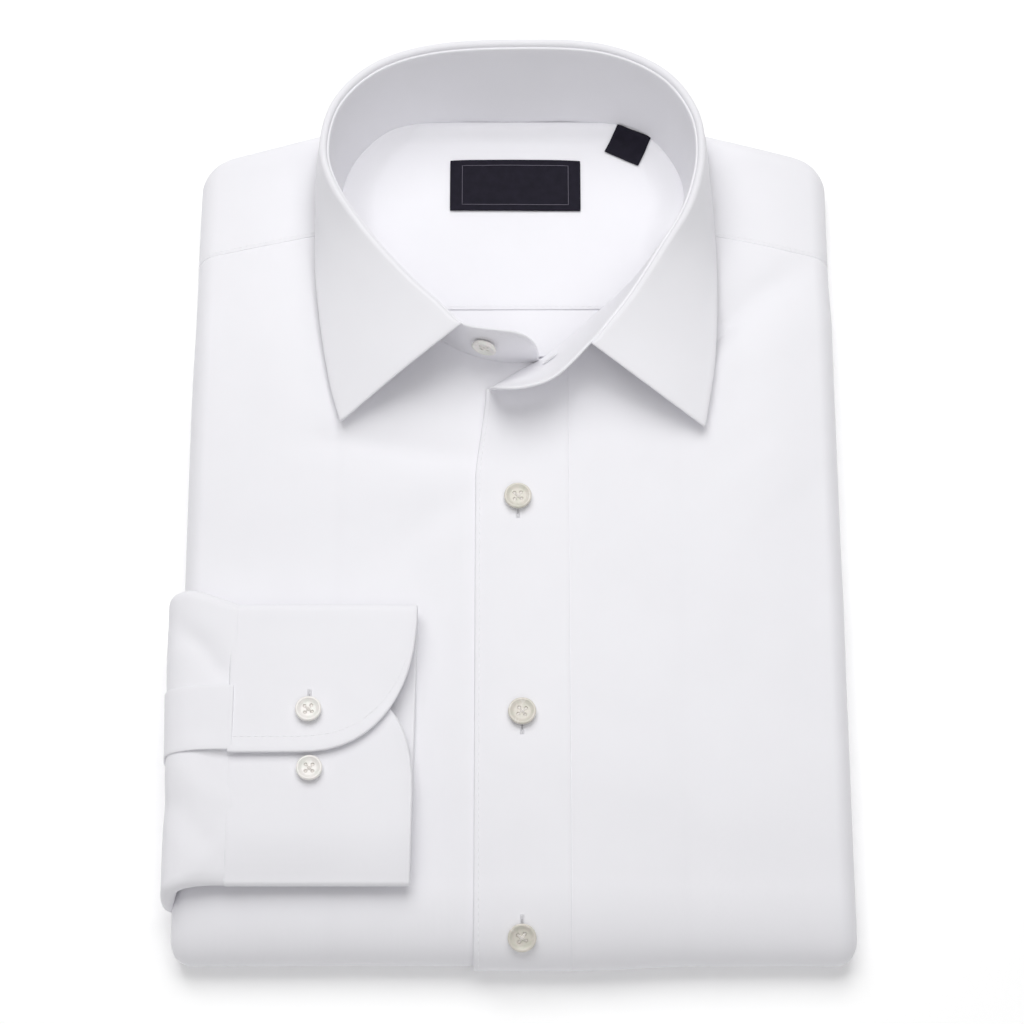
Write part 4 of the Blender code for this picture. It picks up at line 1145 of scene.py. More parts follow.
# %% [markdown]
# ## Sleeve and cuff
# The sleeve comes out between the folded layers, turns up round the side and ends in the cuff. It
# is a flattened tube with soft diagonal creases. Its placket is a strip along the opening, and the
# cuff is one stiff strip wrapped round, whose rounded buttonhole end laps over the button end.

# %% Sleeve
SLEEVE_THICK = 0.0007
SLEEVE_SAG_FROM_Y = -0.090
SLEEVE_RUN = (
    # x, z of the tube's middle, half height, far edge y, near edge y, all in millimetres,
    # and its share in the body's sag
    (-109.2, 32.1, 3.9, -44.9, -159.8, 0.0),
    (-117.6, 31.8, 3.9, -41.7, -159.8, 0.1),
    (-124.6, 31.4, 3.6, -39.1, -160.4, 0.2),
    (-130.0, 30.5, 3.1, -38.2, -161.4, 0.3),
    (-133.7, 28.0, 2.7, -38.6, -162.8, 0.4),
    (-135.2, 23.0, 2.3, -39.6, -164.4, 0.5),
    (-135.6, 17.6, 1.9, -40.0, -164.8, 0.5),
    (-134.9, 13.2, 1.7, -40.0, -164.8, 0.45),
    (-131.8, 11.2, 1.5, -40.0, -164.8, 0.42),
    (-127.6, 10.9, 1.5, -40.0, -164.8, 0.42),
)
SLEEVE_DRIFT = 0.0012
SLEEVE_DRIFT_FROM = 0.060
SLEEVE_DRIFT_TO = 0.110
SLEEVE_ROWS = 46
STRAIGHT_STEPS = 90
BEND_STEPS = 8
CUFF_LEVELS = (0.0003, -0.0018)
CUFF_STEP_Y = -0.1075
CUFF_STEP_HALF = 0.001
SEAM_FIT_ROWS = 2.2
NEAR_ROLL_ROWS = 4.5
CUFF_NEAR_FOLD_Y = -0.1590
NEAR_ROLL_FROM_Y = -0.137
NEAR_ROLL_DROP = 0.0034
SLEEVE_CREASES = (
    # start length, start y, end length, end y, half width, height, in millimetres
    (22.0, -52.0, 4.0, -77.0, 5.0, -1.6),
    (24.0, -112.0, 3.0, -128.0, 5.0, 0.5),
    (28.0, -124.0, 6.0, -148.0, 6.0, -1.0),
    (14.0, -154.0, 0.0, -144.0, 4.0, 0.3),
)
print("sleeve creases:", len(SLEEVE_CREASES))


# %% Course of the sleeve
def run_value(place):
    """Sleeve run at a fractional row, smoothly."""
    last = len(SLEEVE_RUN) - 1
    index = min(int(place), last - 1)
    share = place - index
    a, b, c, d = (np.array(SLEEVE_RUN[min(max(index + k, 0), last)]) for k in (-1, 0, 1, 2))
    square = a * 2 - b * 5 + c * 4 - d
    cube = b * 3 - c * 3 + d - a
    return b + (c - a) * share * 0.5 + (square + cube * share) * share ** 2 / 2


def sleeve_frame(place):
    """Middle, outward direction, half height, sag share and edges of the tube at a row."""
    x, z, half, far, near, sag = run_value(place)
    before = run_value(max(place - 0.2, 0.0))
    after = run_value(min(place + 0.2, len(SLEEVE_RUN) - 1.0))
    along = Vector((after[0] - before[0], 0.0, after[1] - before[1])).normalized()
    middle, out = Vector((x, 0.0, z)) * MM, Vector((along.z, 0.0, -along.x))
    return middle, out, half * MM, sag, far * MM, near * MM


def sagged(point, share):
    """Lets the sleeve follow the body where it thins and narrows towards the hem."""
    fall = stack_height(-FLAT_X, SLEEVE_SAG_FROM_Y) - stack_height(-FLAT_X, point.y)
    drift = SLEEVE_DRIFT * ease(SLEEVE_DRIFT_FROM, SLEEVE_DRIFT_TO, -point.y)
    drift *= min(share * 2.0, 1.0)
    return point + Vector((drift, 0.0, -fall * share))


def near_roll(y):
    """How far the upper layers of cuff and sleeve roll down towards their near fold."""
    share = (NEAR_ROLL_FROM_Y - y) / (NEAR_ROLL_FROM_Y - CUFF_NEAR_FOLD_Y)
    return NEAR_ROLL_DROP * min(max(share, 0.0), 1.0) ** 2


def seam_fit(place, y):
    """Brings the sleeve's upper layer level with the layer of the cuff that it is sewn into."""
    far = ease(CUFF_STEP_Y - CUFF_STEP_HALF, CUFF_STEP_Y + CUFF_STEP_HALF, y)
    step = mix(CUFF_LEVELS[1], CUFF_LEVELS[0], far)
    step *= 1.0 - ease(0.0, SEAM_FIT_ROWS, place)
    return step - near_roll(y) * (1.0 - ease(0.0, NEAR_ROLL_ROWS, place))


SLEEVE_PLACES = spread(0.0, len(SLEEVE_RUN) - 1.0, SLEEVE_ROWS)
sleeve_lengths = [0.0]
for before, after in zip(SLEEVE_PLACES, SLEEVE_PLACES[1:]):
    step = (sleeve_frame(after)[0] - sleeve_frame(before)[0]).length
    sleeve_lengths.append(sleeve_lengths[-1] + step)
print("sleeve from cuff to fold, in mm:", round(1000 * sleeve_lengths[-1], 1))


# %% Sleeve cloth
def sleeve_ring(place, length):
    """One round of the flattened tube: two straight layers and the bends at their ends."""
    middle, out, half, sag, far, near = sleeve_frame(place)
    centre = (far + near) / 2
    straight = (far - near) / 2 - half
    ring = []
    for side in (1, -1):
        for along in spread(-straight * side, straight * side, STRAIGHT_STEPS)[:-1]:
            y = centre + along
            puff = 0.0
            if side > 0:
                puff = crease_height(length, y, SLEEVE_CREASES) + seam_fit(place, y)
            ring.append(middle + out * (half * side + puff) + Vector((0.0, y, 0.0)))
        for angle in spread(0.0, math.pi, BEND_STEPS + 1)[:-1]:
            y = centre + side * (straight + half * math.sin(angle))
            level = side * math.cos(angle)
            fit = seam_fit(place, y) * (1.0 + level) / 2
            ring.append(middle + out * (half * level + fit) + Vector((0.0, y, 0.0)))
    return [sagged(point, sag) for point in ring]


sleeve_grid = []
for place, length in zip(SLEEVE_PLACES, sleeve_lengths):
    sleeve_grid.append(list(reversed(sleeve_ring(place, length))))
cloth("sleeve_cloth", sleeve_grid, SLEEVE_THICK, "sleeve", closed=True)

# %% Sleeve placket
GAUNTLET_FAR_Y = -0.0805
GAUNTLET_NEAR_Y = -0.1070
GAUNTLET_MIDDLE_Y = -0.09
GAUNTLET_THICK = 0.0007
GAUNTLET_CLEAR = 0.0001
GAUNTLET_STEP = 0.0014
GAUNTLET_FIRST = 0.15
GAUNTLET_LAST = 6.0
GAUNTLET_OPEN = 0.0006
GAUNTLET_OPEN_WIDE = 0.010
GAUNTLET_OPEN_ROWS = 3.0


def gauntlet_rows():
    """Rows of the strip along the sleeve's opening, whose near edge stands a little open."""
    rows = []
    for place in spread(GAUNTLET_FIRST, GAUNTLET_LAST, 34):
        middle, out, half, sag = sleeve_frame(place)[:4]
        face = middle + out * (half + GAUNTLET_CLEAR + GAUNTLET_THICK)
        swell = GAUNTLET_OPEN * math.sin(math.pi * min(place / GAUNTLET_OPEN_ROWS, 1.0))
        row = []
        for y in spaced(GAUNTLET_NEAR_Y, GAUNTLET_FAR_Y, GAUNTLET_STEP):
            free = 1.0 - ease(GAUNTLET_NEAR_Y, GAUNTLET_NEAR_Y + GAUNTLET_OPEN_WIDE, y)
            opened = swell * free + seam_fit(place, GAUNTLET_MIDDLE_Y)
            row.append(sagged(face + out * opened + Vector((0.0, y, 0.0)), sag))
        rows.append(list(reversed(row)))
    return rows


cloth("sleeve_placket_cloth", gauntlet_rows(), GAUNTLET_THICK, "sleeve_placket")

# %% Cuff
CUFF_SEAM_X = -0.1112
CUFF_WRIST_X = -0.0383
CUFF_THICK = 0.0014
CUFF_BOTTOM_Z = 0.0283
CUFF_UNDERLAP_Z = 0.0342
CUFF_TOP_Z = 0.0363
CUFF_FAR_FOLD_Y = -0.0490
CUFF_TOP_END_Y = -0.1080
CUFF_UNDER_END_Y = -0.0780
CUFF_CORNER_WIDE = 0.045
TOP_CORNER = (0.0615, 2.35)
UNDER_CORNER = (0.055, 2.9)
CUFF_CURL = 0.0010
CURLED_STEPS = 8
CURL_FROM_Y = -0.075
CURL_TO_Y = -0.100
CUFF_DOME = 0.0005
CUFF_DOME_WIDE = 0.02
CUFF_UNEVEN = 0.00025
NEAR_FOLD_HIGH = 0.0022
CUFF_TAPER = 0.0018
NEAR_SLOPE_LONG = 0.016
CUFF_CORNER_SHARES = (
    0.12, 0.25, 0.37, 0.48, 0.58, 0.66, 0.73, 0.79, 0.845, 0.89, 0.925, 0.952, 0.973, 0.988, 0.997,
)
print("cuff, in mm:", round(1000 * (CUFF_WRIST_X - CUFF_SEAM_X), 1), "deep")


# %% Bends of the cuff
def cuff_corner(x, long, power):
    """How far a rounded corner takes the strip's end back at x."""
    share = (x - (CUFF_WRIST_X - CUFF_CORNER_WIDE)) / CUFF_CORNER_WIDE
    if share <= 0.0:
        return 0.0
    return long * (1.0 - (1.0 - share ** power) ** (1.0 / power))


def half_turn(y, first_z, last_z, side):
    """Places on a half circle that turns from one height to another."""
    middle, radius = (first_z + last_z) / 2, (last_z - first_z) / 2
    places = []
    for turn in spread(0.0, math.pi, 13):
        places.append((y + side * abs(radius) * math.sin(turn), middle - radius * math.cos(turn)))
    return places


def cuff_bow(x, y):
    """The cuff's upper layers are slightly domed between its seam and its end."""
    share = (x - CUFF_SEAM_X) / (CUFF_WRIST_X - CUFF_SEAM_X)
    dome = CUFF_DOME * math.sin(math.pi * min(max(share, 0.0), 1.0))
    return dome + CUFF_UNEVEN * noise.noise(Vector((x * 40.0, y * 30.0, 9.0)))


# %% Cuff cloth
def cuff_path(x):
    """Points of the strip round the cuff at x, from the button end to the buttonhole end."""
    start = CUFF_UNDER_END_Y - cuff_corner(x, *UNDER_CORNER)
    stop = CUFF_TOP_END_Y + cuff_corner(x, *TOP_CORNER)
    path = [(y, CUFF_UNDERLAP_Z - near_roll(y)) for y in spread(start, CUFF_NEAR_FOLD_Y, 34)[:-1]]
    rolled_z = CUFF_UNDERLAP_Z - NEAR_ROLL_DROP
    path += half_turn(CUFF_NEAR_FOLD_Y, rolled_z, rolled_z - NEAR_FOLD_HIGH, -1)
    sloped_y = CUFF_NEAR_FOLD_Y + NEAR_SLOPE_LONG
    path += [(mix(CUFF_NEAR_FOLD_Y, sloped_y, share),
              mix(rolled_z - NEAR_FOLD_HIGH, CUFF_BOTTOM_Z, ease(0.0, 1.0, share)))
             for share in spread(0.0, 1.0, 8)[1:]]
    path += [(y, CUFF_BOTTOM_Z) for y in spread(sloped_y, CUFF_FAR_FOLD_Y, 14)[1:-1]]
    path += half_turn(CUFF_FAR_FOLD_Y, CUFF_BOTTOM_Z, CUFF_TOP_Z, 1)
    path += [(y, CUFF_TOP_Z) for y in spread(CUFF_FAR_FOLD_Y, stop, 30)[1:]]
    bent = []
    for number, (y, z) in enumerate(path):
        if z > CUFF_UNDERLAP_Z - NEAR_ROLL_DROP:
            z += cuff_bow(x, y) * ease(CUFF_NEAR_FOLD_Y, CUFF_NEAR_FOLD_Y + CUFF_DOME_WIDE, y)
        curled = number - (len(path) - 1 - CURLED_STEPS)
        if curled > 0:
            z += CUFF_CURL * (curled / CURLED_STEPS) ** 2 * ease(CURL_FROM_Y, CURL_TO_Y, y)
        near = (CUFF_FAR_FOLD_Y - y) / (CUFF_FAR_FOLD_Y - CUFF_NEAR_FOLD_Y)
        wrist = (x - CUFF_SEAM_X) / (CUFF_WRIST_X - CUFF_SEAM_X)
        bent.append(Vector((x - CUFF_TAPER * near * wrist, y, z)))
    return bent


cuff_places = spread(CUFF_SEAM_X, CUFF_WRIST_X - CUFF_CORNER_WIDE, 14)
cuff_places += [CUFF_WRIST_X - CUFF_CORNER_WIDE * (1.0 - share) for share in CUFF_CORNER_SHARES]
cloth("cuff_cloth", [cuff_path(x) for x in cuff_places], CUFF_THICK, "cuff", level=0.5)

# %% [markdown]
# ## Buttons
# A shirt button is turned from shell: a dished face inside a raised rim, four holes, a rounded
# back. We spin its profile, drill the holes with a boolean, and lay the sewing thread crosswise
# through them and down to the cloth as a short shank.

# %% Button shape
BUTTON_THICK = 0.0026
BUTTON_RIM_WIDE = 0.0013
BUTTON_DISH = 0.0007
BUTTON_HOLE = 0.0015
BUTTON_HOLE_PITCH = 0.0027
HOLE_REACH = BUTTON_HOLE_PITCH / math.sqrt(2)
BUTTON_SEAT = 0.0005
BUTTON_SIDES = 64
HOLE_SIDES = 20
MERGE_DISTANCE = 0.000005
SHARP_ANGLE = math.radians(40)


def arc_points(centre_x, centre_z, radius, first, last, count):
    """Places on an arc in the profile's plane, between two angles in degrees."""
    points = []
    for degrees in spread(first, last, count):
        angle = math.radians(degrees)
        points.append((centre_x + radius * math.cos(angle), centre_z + radius * math.sin(angle)))
    return points


def hole_direction(turn):
    angle = math.pi / 4 + turn * QUARTER
    return Vector((math.cos(angle), math.sin(angle), 0.0))


def button_profile(radius):
    """Half profile from the middle of the face, over the rim, to the middle of the back."""
    rim = radius - BUTTON_RIM_WIDE
    dish = BUTTON_THICK - BUTTON_DISH
    profile = [(0.0, dish - 0.0001), (rim * 0.5, dish - 0.00005), (rim - 0.0011, dish)]
    profile += [(rim - 0.0006, dish + 0.00012), (rim - 0.0002, dish + 0.0004)]
    profile += arc_points(rim + 0.0005, BUTTON_THICK - 0.0004, 0.0004, 150, 90, 4)
    profile += arc_points(radius - 0.0006, BUTTON_THICK - 0.0006, 0.0006, 90, 0, 6)
    profile += [(radius - 0.0001, 0.0012), (radius - 0.0007, 0.0005)]
    profile += [(radius - 0.0017, 0.0001), (0.0, 0.0)]
    return profile


def button_mesh(name, diameter, look):
    """A button spun from its profile, with four holes drilled through it."""
    shape = bmesh.new()
    verts = [shape.verts.new((x, 0.0, z)) for x, z in button_profile(diameter / 2)]
    edges = [shape.edges.new(pair) for pair in zip(verts, verts[1:])]
    bmesh.ops.spin(shape, geom=verts + edges, cent=(0, 0, 0), axis=(0, 0, 1), angle=math.tau,
                   steps=BUTTON_SIDES, use_merge=True)
    bmesh.ops.remove_doubles(shape, verts=shape.verts, dist=MERGE_DISTANCE)
    bmesh.ops.recalc_face_normals(shape, faces=shape.faces)
    mesh = bpy.data.meshes.new(name)
    shape.to_mesh(mesh)
    shape.free()
    blank = linked_object(name, mesh)
    drill = bmesh.new()
    for turn in range(4):
        middle = hole_direction(turn) * HOLE_REACH + Vector((0.0, 0.0, BUTTON_THICK / 2))
        place = Matrix.Translation(middle)
        bmesh.ops.create_cone(drill, cap_ends=True, segments=HOLE_SIDES, radius1=BUTTON_HOLE / 2,
                              radius2=BUTTON_HOLE / 2, depth=2 * BUTTON_THICK, matrix=place)
    drill_mesh = bpy.data.meshes.new(name + "_drill")
    drill.to_mesh(drill_mesh)
    drill.free()
    holes = linked_object(name + "_drill", drill_mesh)
    boring = blank.modifiers.new("holes", "BOOLEAN")
    boring.operation = "DIFFERENCE"
    boring.object = holes
    boring.solver = "EXACT"
    depsgraph = bpy.context.evaluated_depsgraph_get()
    drilled = bpy.data.meshes.new_from_object(blank.evaluated_get(depsgraph))
    bpy.data.objects.remove(blank, do_unlink=True)
    bpy.data.objects.remove(holes, do_unlink=True)
    drilled.name = name + "_shape"
    drilled.materials.clear()
    drilled.materials.append(look)
    drilled.shade_smooth()
    drilled.set_sharp_from_angle(angle=SHARP_ANGLE)
    return drilled


# %% Thread
CROSSINGS = (
    # turn of the bundle, height over the button's face
    (1, 0.00012),
    (-1, 0.00030),
)
STRAND_ASIDE = 0.00017
STRAND_RADIUS = 0.00018
STRAND_SUNK = 0.0009
SHANK_REACH = 0.0012
SHANK_TOP = 0.0003
SHANK_DRAWN_IN = 0.7
SHANK_RADIUS = 0.0004
SHANK_SUNK = 0.0001
PLUG_FOOT = 0.0004
PLUG_SUNK = 0.0004
PLUG_CLEAR = 0.00006


def tube(shape, path, radius, sides, taper=1.0):
    """Adds a round closed tube along a path to a bmesh; taper is the share of radius at its ends."""
    rings = []
    last = len(path) - 1
    for number, point in enumerate(path):
        run = (path[min(number + 1, last)] - path[max(number - 1, 0)]).normalized()
        turn = run.to_track_quat("Z", "X").to_matrix()
        size = radius * (taper if number in (0, last) else 1.0)
        ring = []
        for k in range(sides):
            angle = math.tau * k / sides
            aside = Vector((size * math.cos(angle), size * math.sin(angle), 0.0))
            ring.append(shape.verts.new(point + turn @ aside))
        rings.append(ring)
    for near, far in zip(rings, rings[1:]):
        for k in range(sides):
            after = (k + 1) % sides
            shape.faces.new((near[k], near[after], far[after], far[k]))
    shape.faces.new(list(reversed(rings[0])))
    shape.faces.new(rings[-1])


def bmesh_object(name, shape, look):
    mesh = bpy.data.meshes.new(name)
    bmesh.ops.recalc_face_normals(shape, faces=shape.faces)
    shape.to_mesh(mesh)
    shape.free()
    mesh.shade_smooth()
    mesh.materials.append(look)
    return linked_object(name, mesh)


def thread_shape(name):
    """Two crossed bundles of thread through the four holes, and the shank below."""
    shape = bmesh.new()
    half_pitch = BUTTON_HOLE_PITCH / 2
    face = BUTTON_THICK - BUTTON_DISH
    for turn, top in CROSSINGS:
        for aside in (-STRAND_ASIDE, STRAND_ASIDE):
            path = []
            for share in spread(0.0, 1.0, 9):
                over = mix(-half_pitch, half_pitch, share)
                bow = math.sin(math.pi * share) ** 0.5
                up = face - STRAND_SUNK + (STRAND_SUNK + top) * bow
                path.append(Vector((over + aside * turn, over * turn - aside, up)))
            tube(shape, path, STRAND_RADIUS, 8)
    for turn in range(4):
        place = hole_direction(turn) * SHANK_REACH
        foot = place * SHANK_DRAWN_IN - Vector((0.0, 0.0, BUTTON_SEAT + SHANK_SUNK))
        tube(shape, [place + Vector((0.0, 0.0, SHANK_TOP)), foot], SHANK_RADIUS, 6)
        hole = hole_direction(turn) * HOLE_REACH
        plug = [hole + Vector((0.0, 0.0, up)) for up in (PLUG_FOOT, face - PLUG_SUNK)]
        tube(shape, plug, BUTTON_HOLE / 2 - PLUG_CLEAR, 12)
    return bmesh_object(name, shape, BUTTON_THREAD)


# %% Sewing on the buttons
FRONT_BUTTONS = (
    # x, length along the cloth, turn
    (0.0024, 0.0045, 0.08),
    (0.0040, -0.0888, -0.12),
    (0.0039, -0.1795, 0.2),
)
CUFF_FACE = CUFF_THICK / 2 + 0.0005
CUFF_BUTTONS = (
    # x, y, height of the cloth, turn
    (-0.0801, -0.0912, CUFF_TOP_Z + CUFF_FACE, 0.1),
    (-0.0793, -0.1150, CUFF_UNDERLAP_Z + CUFF_FACE, 0.0),
)
COLLAR_BUTTON_ROW = 1.38
COLLAR_BUTTON_SHARE = 0.55
COLLAR_BUTTON_TURN = 0.1
FRONT_BUTTON_SIZE = 0.0112
SMALL_BUTTON_SIZE = 0.0104
UPRIGHT = Vector((0.0, 0.0, 1.0))


def surface_normal(across, along, depth):
    step = MM
    side = cloth_point(across + step, along, depth) - cloth_point(across - step, along, depth)
    up = cloth_point(across, along + step, depth) - cloth_point(across, along - step, depth)
    return side.cross(up).normalized()


def facing(normal, spin):
    return normal.to_track_quat("Z", "Y").to_matrix().to_4x4() @ Matrix.Rotation(spin, 4, "Z")


def sew_button(node, mesh, seat, normal, spin):
    """Places a button and its thread on the cloth and lets both ride with it."""
    place = Matrix.Translation(seat + normal * BUTTON_SEAT) @ facing(normal, spin)
    made = linked_object(node + "_shell", mesh.copy())
    made.data.transform(place)
    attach(made, "root")
    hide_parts(node)
    threads = thread_shape(node + "_thread")
    threads.data.transform(place)
    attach(threads, "root")


def front_place(x, along):
    across = x - BODY_CENTRE_X
    depth = -lift(across, along) - body_relief(across, along)
    return cloth_point(across, along, depth), surface_normal(across, along, depth)


front_shape = button_mesh("front_button", FRONT_BUTTON_SIZE, PEARL)
small_shape = button_mesh("small_button", SMALL_BUTTON_SIZE, PALE_PEARL)
for number, (x, along, turn) in enumerate(FRONT_BUTTONS, start=1):
    sew_button(f"button_front_{number}", front_shape, *front_place(x, along), turn)
for number, (x, y, z, turn) in enumerate(CUFF_BUTTONS, start=1):
    sew_button(f"button_cuff_{number}", small_shape, Vector((x, y, z)), UPRIGHT, turn)
collar_foot, collar_top = seam_point(COLLAR_BUTTON_ROW), band_top(COLLAR_BUTTON_ROW)
beside = seam_point(COLLAR_BUTTON_ROW + 0.3) - collar_foot
collar_out = beside.cross(collar_top - collar_foot).normalized()
collar_out = collar_out if collar_out.y < 0.0 else -collar_out
collar_seat = mix(collar_foot, collar_top, COLLAR_BUTTON_SHARE) + collar_out * BAND_THICK / 2
sew_button("button_collar", small_shape, collar_seat, collar_out, COLLAR_BUTTON_TURN)
print("buttons sewn on:", len(FRONT_BUTTONS) + len(CUFF_BUTTONS) + 1)

# %% [markdown]
# ## Buttonholes and stitching
# A buttonhole is a slit between two rows of close whipped stitches, closed by a bar at each end.
# The slit itself is a thin grey tube on the cloth, painted shade for the dark inside the cut.
# Topstitching is a row of short stitches a few millimetres inside an edge. Both are modelled as
# small raised threads lying on the cloth, because at this scale a bump map would vanish from the
# side.

# %% Buttonholes
HOLE_LENGTH = 0.0120
COLLAR_HOLE_LENGTH = 0.0080
HOLE_HALF_WIDE = 0.00080
WHIP_PITCH = 0.00042
WHIP_RADIUS = 0.00016
WHIP_LEVEL = 0.00012
WHIP_RISE = 0.00014
BAR_STITCHES = 3
SLIT_HALF_WIDE = 0.00022
SLIT_END = 0.0016
SLIT_RADIUS = 0.00015
JUST_ABOVE = 0.00002


def buttonhole(name, surface, length=HOLE_LENGTH):
    """Whipped edges round a slit, and a grey tube along it as painted shade. surface gives point and
    normal at a place beside and along it.
    """
    shape = bmesh.new()
    count = round(length / WHIP_PITCH)
    for number in range(count + 1):
        along = mix(-length / 2, length / 2, number / count)
        in_bar = number < BAR_STITCHES or number > count - BAR_STITCHES
        inner = 0.0 if in_bar else SLIT_HALF_WIDE
        for side in (-1, 1):
            path = []
            for share in spread(0.0, 1.0, 4):
                point, normal = surface(side * mix(inner, HOLE_HALF_WIDE, share), along)
                path.append(point + normal * (WHIP_LEVEL + WHIP_RISE * math.sin(math.pi * share)))
            tube(shape, path, WHIP_RADIUS, 5)
    made = bmesh_object(name, shape, THREAD)
    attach(made, "root")
    # A thin grey tube along the slit is painted shade for the dark inside the cut.
    slit = bmesh.new()
    path = []
    for along in spread(-length / 2 + SLIT_END, length / 2 - SLIT_END, 10):
        point, normal = surface(0.0, along)
        path.append(point + normal * JUST_ABOVE)
    tube(slit, path, SLIT_RADIUS, 5)
    gap = bmesh_object(name + "_slit_shade", slit, SLIT_SHADE)
    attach(gap, "root")
    print(f"{name}: {2 * (count + 1)} whipped stitches")


# %% Where the buttonholes lie
FRONT_HOLES = ((0.0024, 0.0018), (0.0040, -0.0915), (0.0039, -0.1762))
CUFF_HOLE = (-0.0799, -0.0884)
COLLAR_HOLE_ROW = 20.95
COLLAR_HOLE_SHARE = 0.30


def front_surface(x, middle):
    def place(aside, along):
        return front_place(x + aside, middle + along)
    return place


def cuff_surface(x, y):
    def place(aside, along):
        z = CUFF_TOP_Z + CUFF_THICK / 2 + cuff_bow(x + aside, y + along)
        return Vector((x + aside, y + along, z)), UPRIGHT
    return place


def tab_surface(row, share):
    """Inner face of the collar's buttonhole tab, along the stand."""
    foot, top = seam_point(row), band_top(row)
    beside = (band_top(row + 0.2) - band_top(row - 0.2)).normalized()
    out = beside.cross(top - foot).normalized()
    out = out if out.y > 0.0 else -out

    def place(aside, along):
        reach = (band_top(row + 0.5) - band_top(row - 0.5)).length
        here = row + along / reach
        centre = mix(seam_point(here), band_top(here), share)
        up = (band_top(here) - seam_point(here)).normalized()
        return centre + up * aside + out * BAND_THICK / 2, out
    return place


for number, (x, middle) in enumerate(FRONT_HOLES, start=1):
    buttonhole(f"buttonhole_front_{number}", front_surface(x, middle))
buttonhole("buttonhole_cuff", cuff_surface(*CUFF_HOLE))
tab_hole = tab_surface(COLLAR_HOLE_ROW, COLLAR_HOLE_SHARE)
buttonhole("buttonhole_collar", tab_hole, COLLAR_HOLE_LENGTH)

# %% Topstitching
STITCH_LONG = 0.0021
STITCH_PITCH = 0.0028
STITCH_RADIUS = 0.00014
STITCH_RISE = 0.00010
STITCH_SUNK = 0.00006
STITCH_TAPER = 0.55
EDGE_STITCH = 0.0014
GAUNTLET_STITCH = 0.0012
BAND_TOP_STITCH = 0.0015
BAND_FOOT_STITCH = 0.0016
WIDE_STITCH = 0.0060


def grid_place(piece, row, column):
    """Point and normal at fractional grid coordinates."""
    outer, normals = piece["outer"], piece["normals"]
    row = min(max(row, 0.0), outer.shape[0] - 1.001)
    column = min(max(column, 0.0), outer.shape[1] - 1.001)
    r, c = int(row), int(column)
    fr, fc = row - r, column - c
    above = outer[r, c] * (1 - fc) + outer[r, c + 1] * fc
    below = outer[r + 1, c] * (1 - fc) + outer[r + 1, c + 1] * fc
    return Vector(above * (1 - fr) + below * fr), Vector(normals[r, c])


def inset_line(piece, edge, distance, first=0.0, last=1.0):
    """Places a fixed distance inside one edge of a piece, between two shares of the edge."""
    rows, columns = piece["outer"].shape[:2]
    line = []
    if edge in ("first_column", "last_column"):
        for row in range(round(first * (rows - 1)), round(last * (rows - 1)) + 1):
            lengths = piece["over"][row]
            target = distance if edge == "first_column" else lengths[-1] - distance
            line.append(grid_place(piece, row, np.interp(target, lengths, range(columns))))
    else:
        for column in range(round(first * (columns - 1)), round(last * (columns - 1)) + 1):
            lengths = piece["down"][:, column]
            target = distance if edge == "first_row" else lengths[-1] - distance
            line.append(grid_place(piece, np.interp(target, lengths, range(rows)), column))
    return line


def stitch_lines(name, lines):
    """Rows of short raised stitches along lines of points and normals."""
    shape = bmesh.new()
    total = 0
    for line in lines:
        points = np.array([tuple(point) for point, _ in line])
        normals = np.array([tuple(normal) for _, normal in line])
        steps = np.linalg.norm(np.diff(points, axis=0), axis=1)
        lengths = np.concatenate([[0.0], np.cumsum(steps)])
        start = STITCH_PITCH * 0.5
        while start + STITCH_LONG < lengths[-1]:
            path = []
            for share in spread(0.0, 1.0, 4):
                at = start + STITCH_LONG * share
                point = Vector([np.interp(at, lengths, points[:, k]) for k in range(3)])
                normal = Vector([np.interp(at, lengths, normals[:, k]) for k in range(3)])
                raised = STITCH_RISE * math.sin(math.pi * share) - STITCH_SUNK
                path.append(point + normal.normalized() * raised)
            tube(shape, path, STITCH_RADIUS, 5, STITCH_TAPER)
            start += STITCH_PITCH
            total += 1
    made = bmesh_object(name, shape, THREAD)
    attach(made, "root")
    print(f"{name}: {total} stitches")


# %% Lines of stitches
placket_piece = PIECES["placket_cloth"]
stitch_lines("placket_stitches", [inset_line(placket_piece, "last_column", EDGE_STITCH, 0.03, 0.83)])
yoke_piece = PIECES["yoke_outer_cloth"]
last_column = len(yoke_columns) - 1
left_seam_end = (len(left_of_neck) - 1) / last_column
right_seam_start = (last_column + 1 - len(right_of_neck)) / last_column
stitch_lines("yoke_stitches", [
    inset_line(yoke_piece, "first_row", EDGE_STITCH, 0.0, left_seam_end),
    inset_line(yoke_piece, "first_row", EDGE_STITCH, right_seam_start, 1.0),
])
inner_piece = PIECES["yoke_inner_cloth"]
stitch_lines("back_seam_stitches", [inset_line(inner_piece, "last_row", EDGE_STITCH)])
leaf_piece = PIECES["collar_leaf_cloth"]
stitch_lines("leaf_stitches", [
    inset_line(leaf_piece, "last_column", WIDE_STITCH, 0.045, 0.955),
    inset_line(leaf_piece, "first_row", WIDE_STITCH, 0.34, 0.93),
    inset_line(leaf_piece, "last_row", WIDE_STITCH, 0.34, 0.93),
])
band_piece = PIECES["collar_band_cloth"]
stitch_lines("band_stitches", [
    inset_line(band_piece, "last_column", BAND_TOP_STITCH, 0.0, 0.09),
    inset_line(band_piece, "last_column", BAND_TOP_STITCH, 0.90, 1.0),
    inset_line(band_piece, "first_column", BAND_FOOT_STITCH, 0.02, 0.98),
])
cuff_piece = PIECES["cuff_cloth"]
stitch_lines("cuff_stitches", [inset_line(cuff_piece, "last_column", WIDE_STITCH, 0.0, 0.86)])
gauntlet_piece = PIECES["sleeve_placket_cloth"]
stitch_lines("sleeve_placket_stitches", [
    inset_line(gauntlet_piece, "first_column", GAUNTLET_STITCH),
    inset_line(gauntlet_piece, "last_column", GAUNTLET_STITCH),
])

# %% [markdown]
# ## Labels
# The main label is a dark woven patch with a thin plain border, and a small dark size tab is sewn
# into the neck seam beside it. Both are left bare of words. They follow the inner yoke.

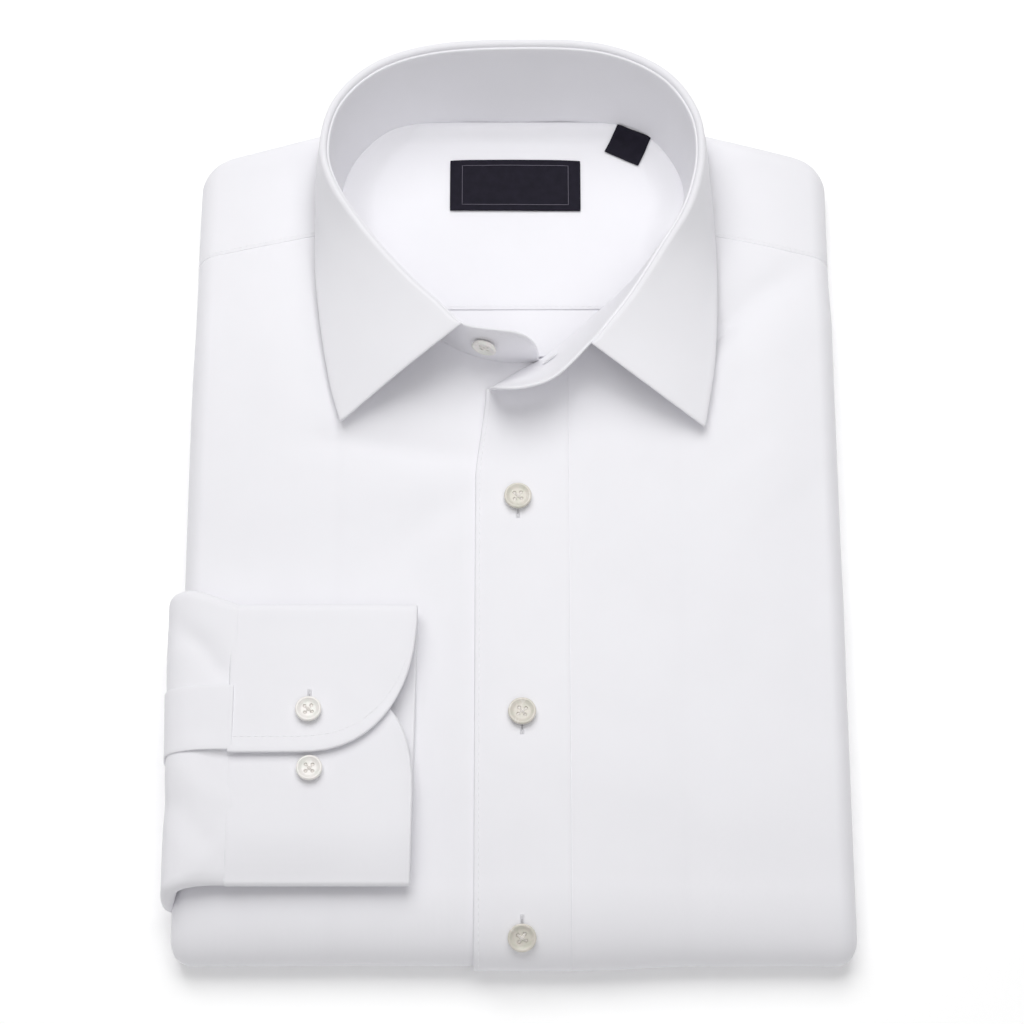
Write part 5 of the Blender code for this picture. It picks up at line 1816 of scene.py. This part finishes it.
# %% Labels
MAIN_LABEL = (0.0555, 0.0240)
MAIN_LABEL_CENTRE = (0.0014, 0.1590)
SIZE_LABEL = (0.0156, 0.0126)
SIZE_LABEL_CENTRE = (0.0499, 0.1782)
SIZE_LABEL_TURN = math.radians(-26)
LABEL_THICK = 0.0005
LABEL_LIFT = 0.0012
LABEL_ARCH = 0.0007
LABEL_PUFF = 0.00025
BORDER_INSET = (0.0050, 0.0026)
BORDER_WIDE = 0.00022


def label_point(centre, turn, over, down, raised):
    local = Vector((over, down))
    local.rotate(Matrix.Rotation(turn, 2))
    lying = floor_point(centre[0] + local.x, centre[1] + local.y)
    return lying + Vector((0.0, 0.0, raised))


def label_bow(over, down):
    """How far a label's line arches, at shares of its width and height from the middle."""
    return (1.0 - (2.0 * over) ** 2) * (down + 0.5)


def label_puff(over, down):
    return LABEL_PUFF * noise.noise(Vector((over * 4.0, down * 3.0, 7.0)))


def label_rows(size, centre, turn, arch=0.0):
    rows = []
    for down in spread(-0.5, 0.5, 18):
        row = []
        for over in spread(-0.5, 0.5, 34):
            y = down * size[1] + arch * label_bow(over, down)
            raised = LABEL_LIFT + label_puff(over, down)
            row.append(label_point(centre, turn, over * size[0], y, raised))
        rows.append(row)
    return rows


main_rows = label_rows(MAIN_LABEL, MAIN_LABEL_CENTRE, 0.0, LABEL_ARCH)
cloth("label_main_cloth", main_rows, LABEL_THICK, "label_main", LABEL)
size_rows = label_rows(SIZE_LABEL, SIZE_LABEL_CENTRE, SIZE_LABEL_TURN)
cloth("label_size_cloth", size_rows, LABEL_THICK, "label_size", LABEL)


def border_line(name):
    """Thin woven line inside the main label's edge."""
    wide, high = MAIN_LABEL
    half_x, half_y = wide / 2 - BORDER_INSET[0], high / 2 - BORDER_INSET[1]
    corners = ((-half_x, -half_y), (half_x, -half_y), (half_x, half_y), (-half_x, half_y))
    shape = bmesh.new()
    for first, last in zip(corners, corners[1:] + corners[:1]):
        path = []
        for share in spread(0.0, 1.0, 24):
            over, down = mix(first[0], last[0], share), mix(first[1], last[1], share)
            y = down + LABEL_ARCH * label_bow(over / wide, down / high)
            raised = LABEL_LIFT + label_puff(over / wide, down / high) + JUST_ABOVE
            path.append(label_point(MAIN_LABEL_CENTRE, 0.0, over, y, raised))
        tube(shape, path, BORDER_WIDE / 2, 6)
    made = bmesh_object(name, shape, LABEL_LINE)
    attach(made, "root")


border_line("label_main_border")
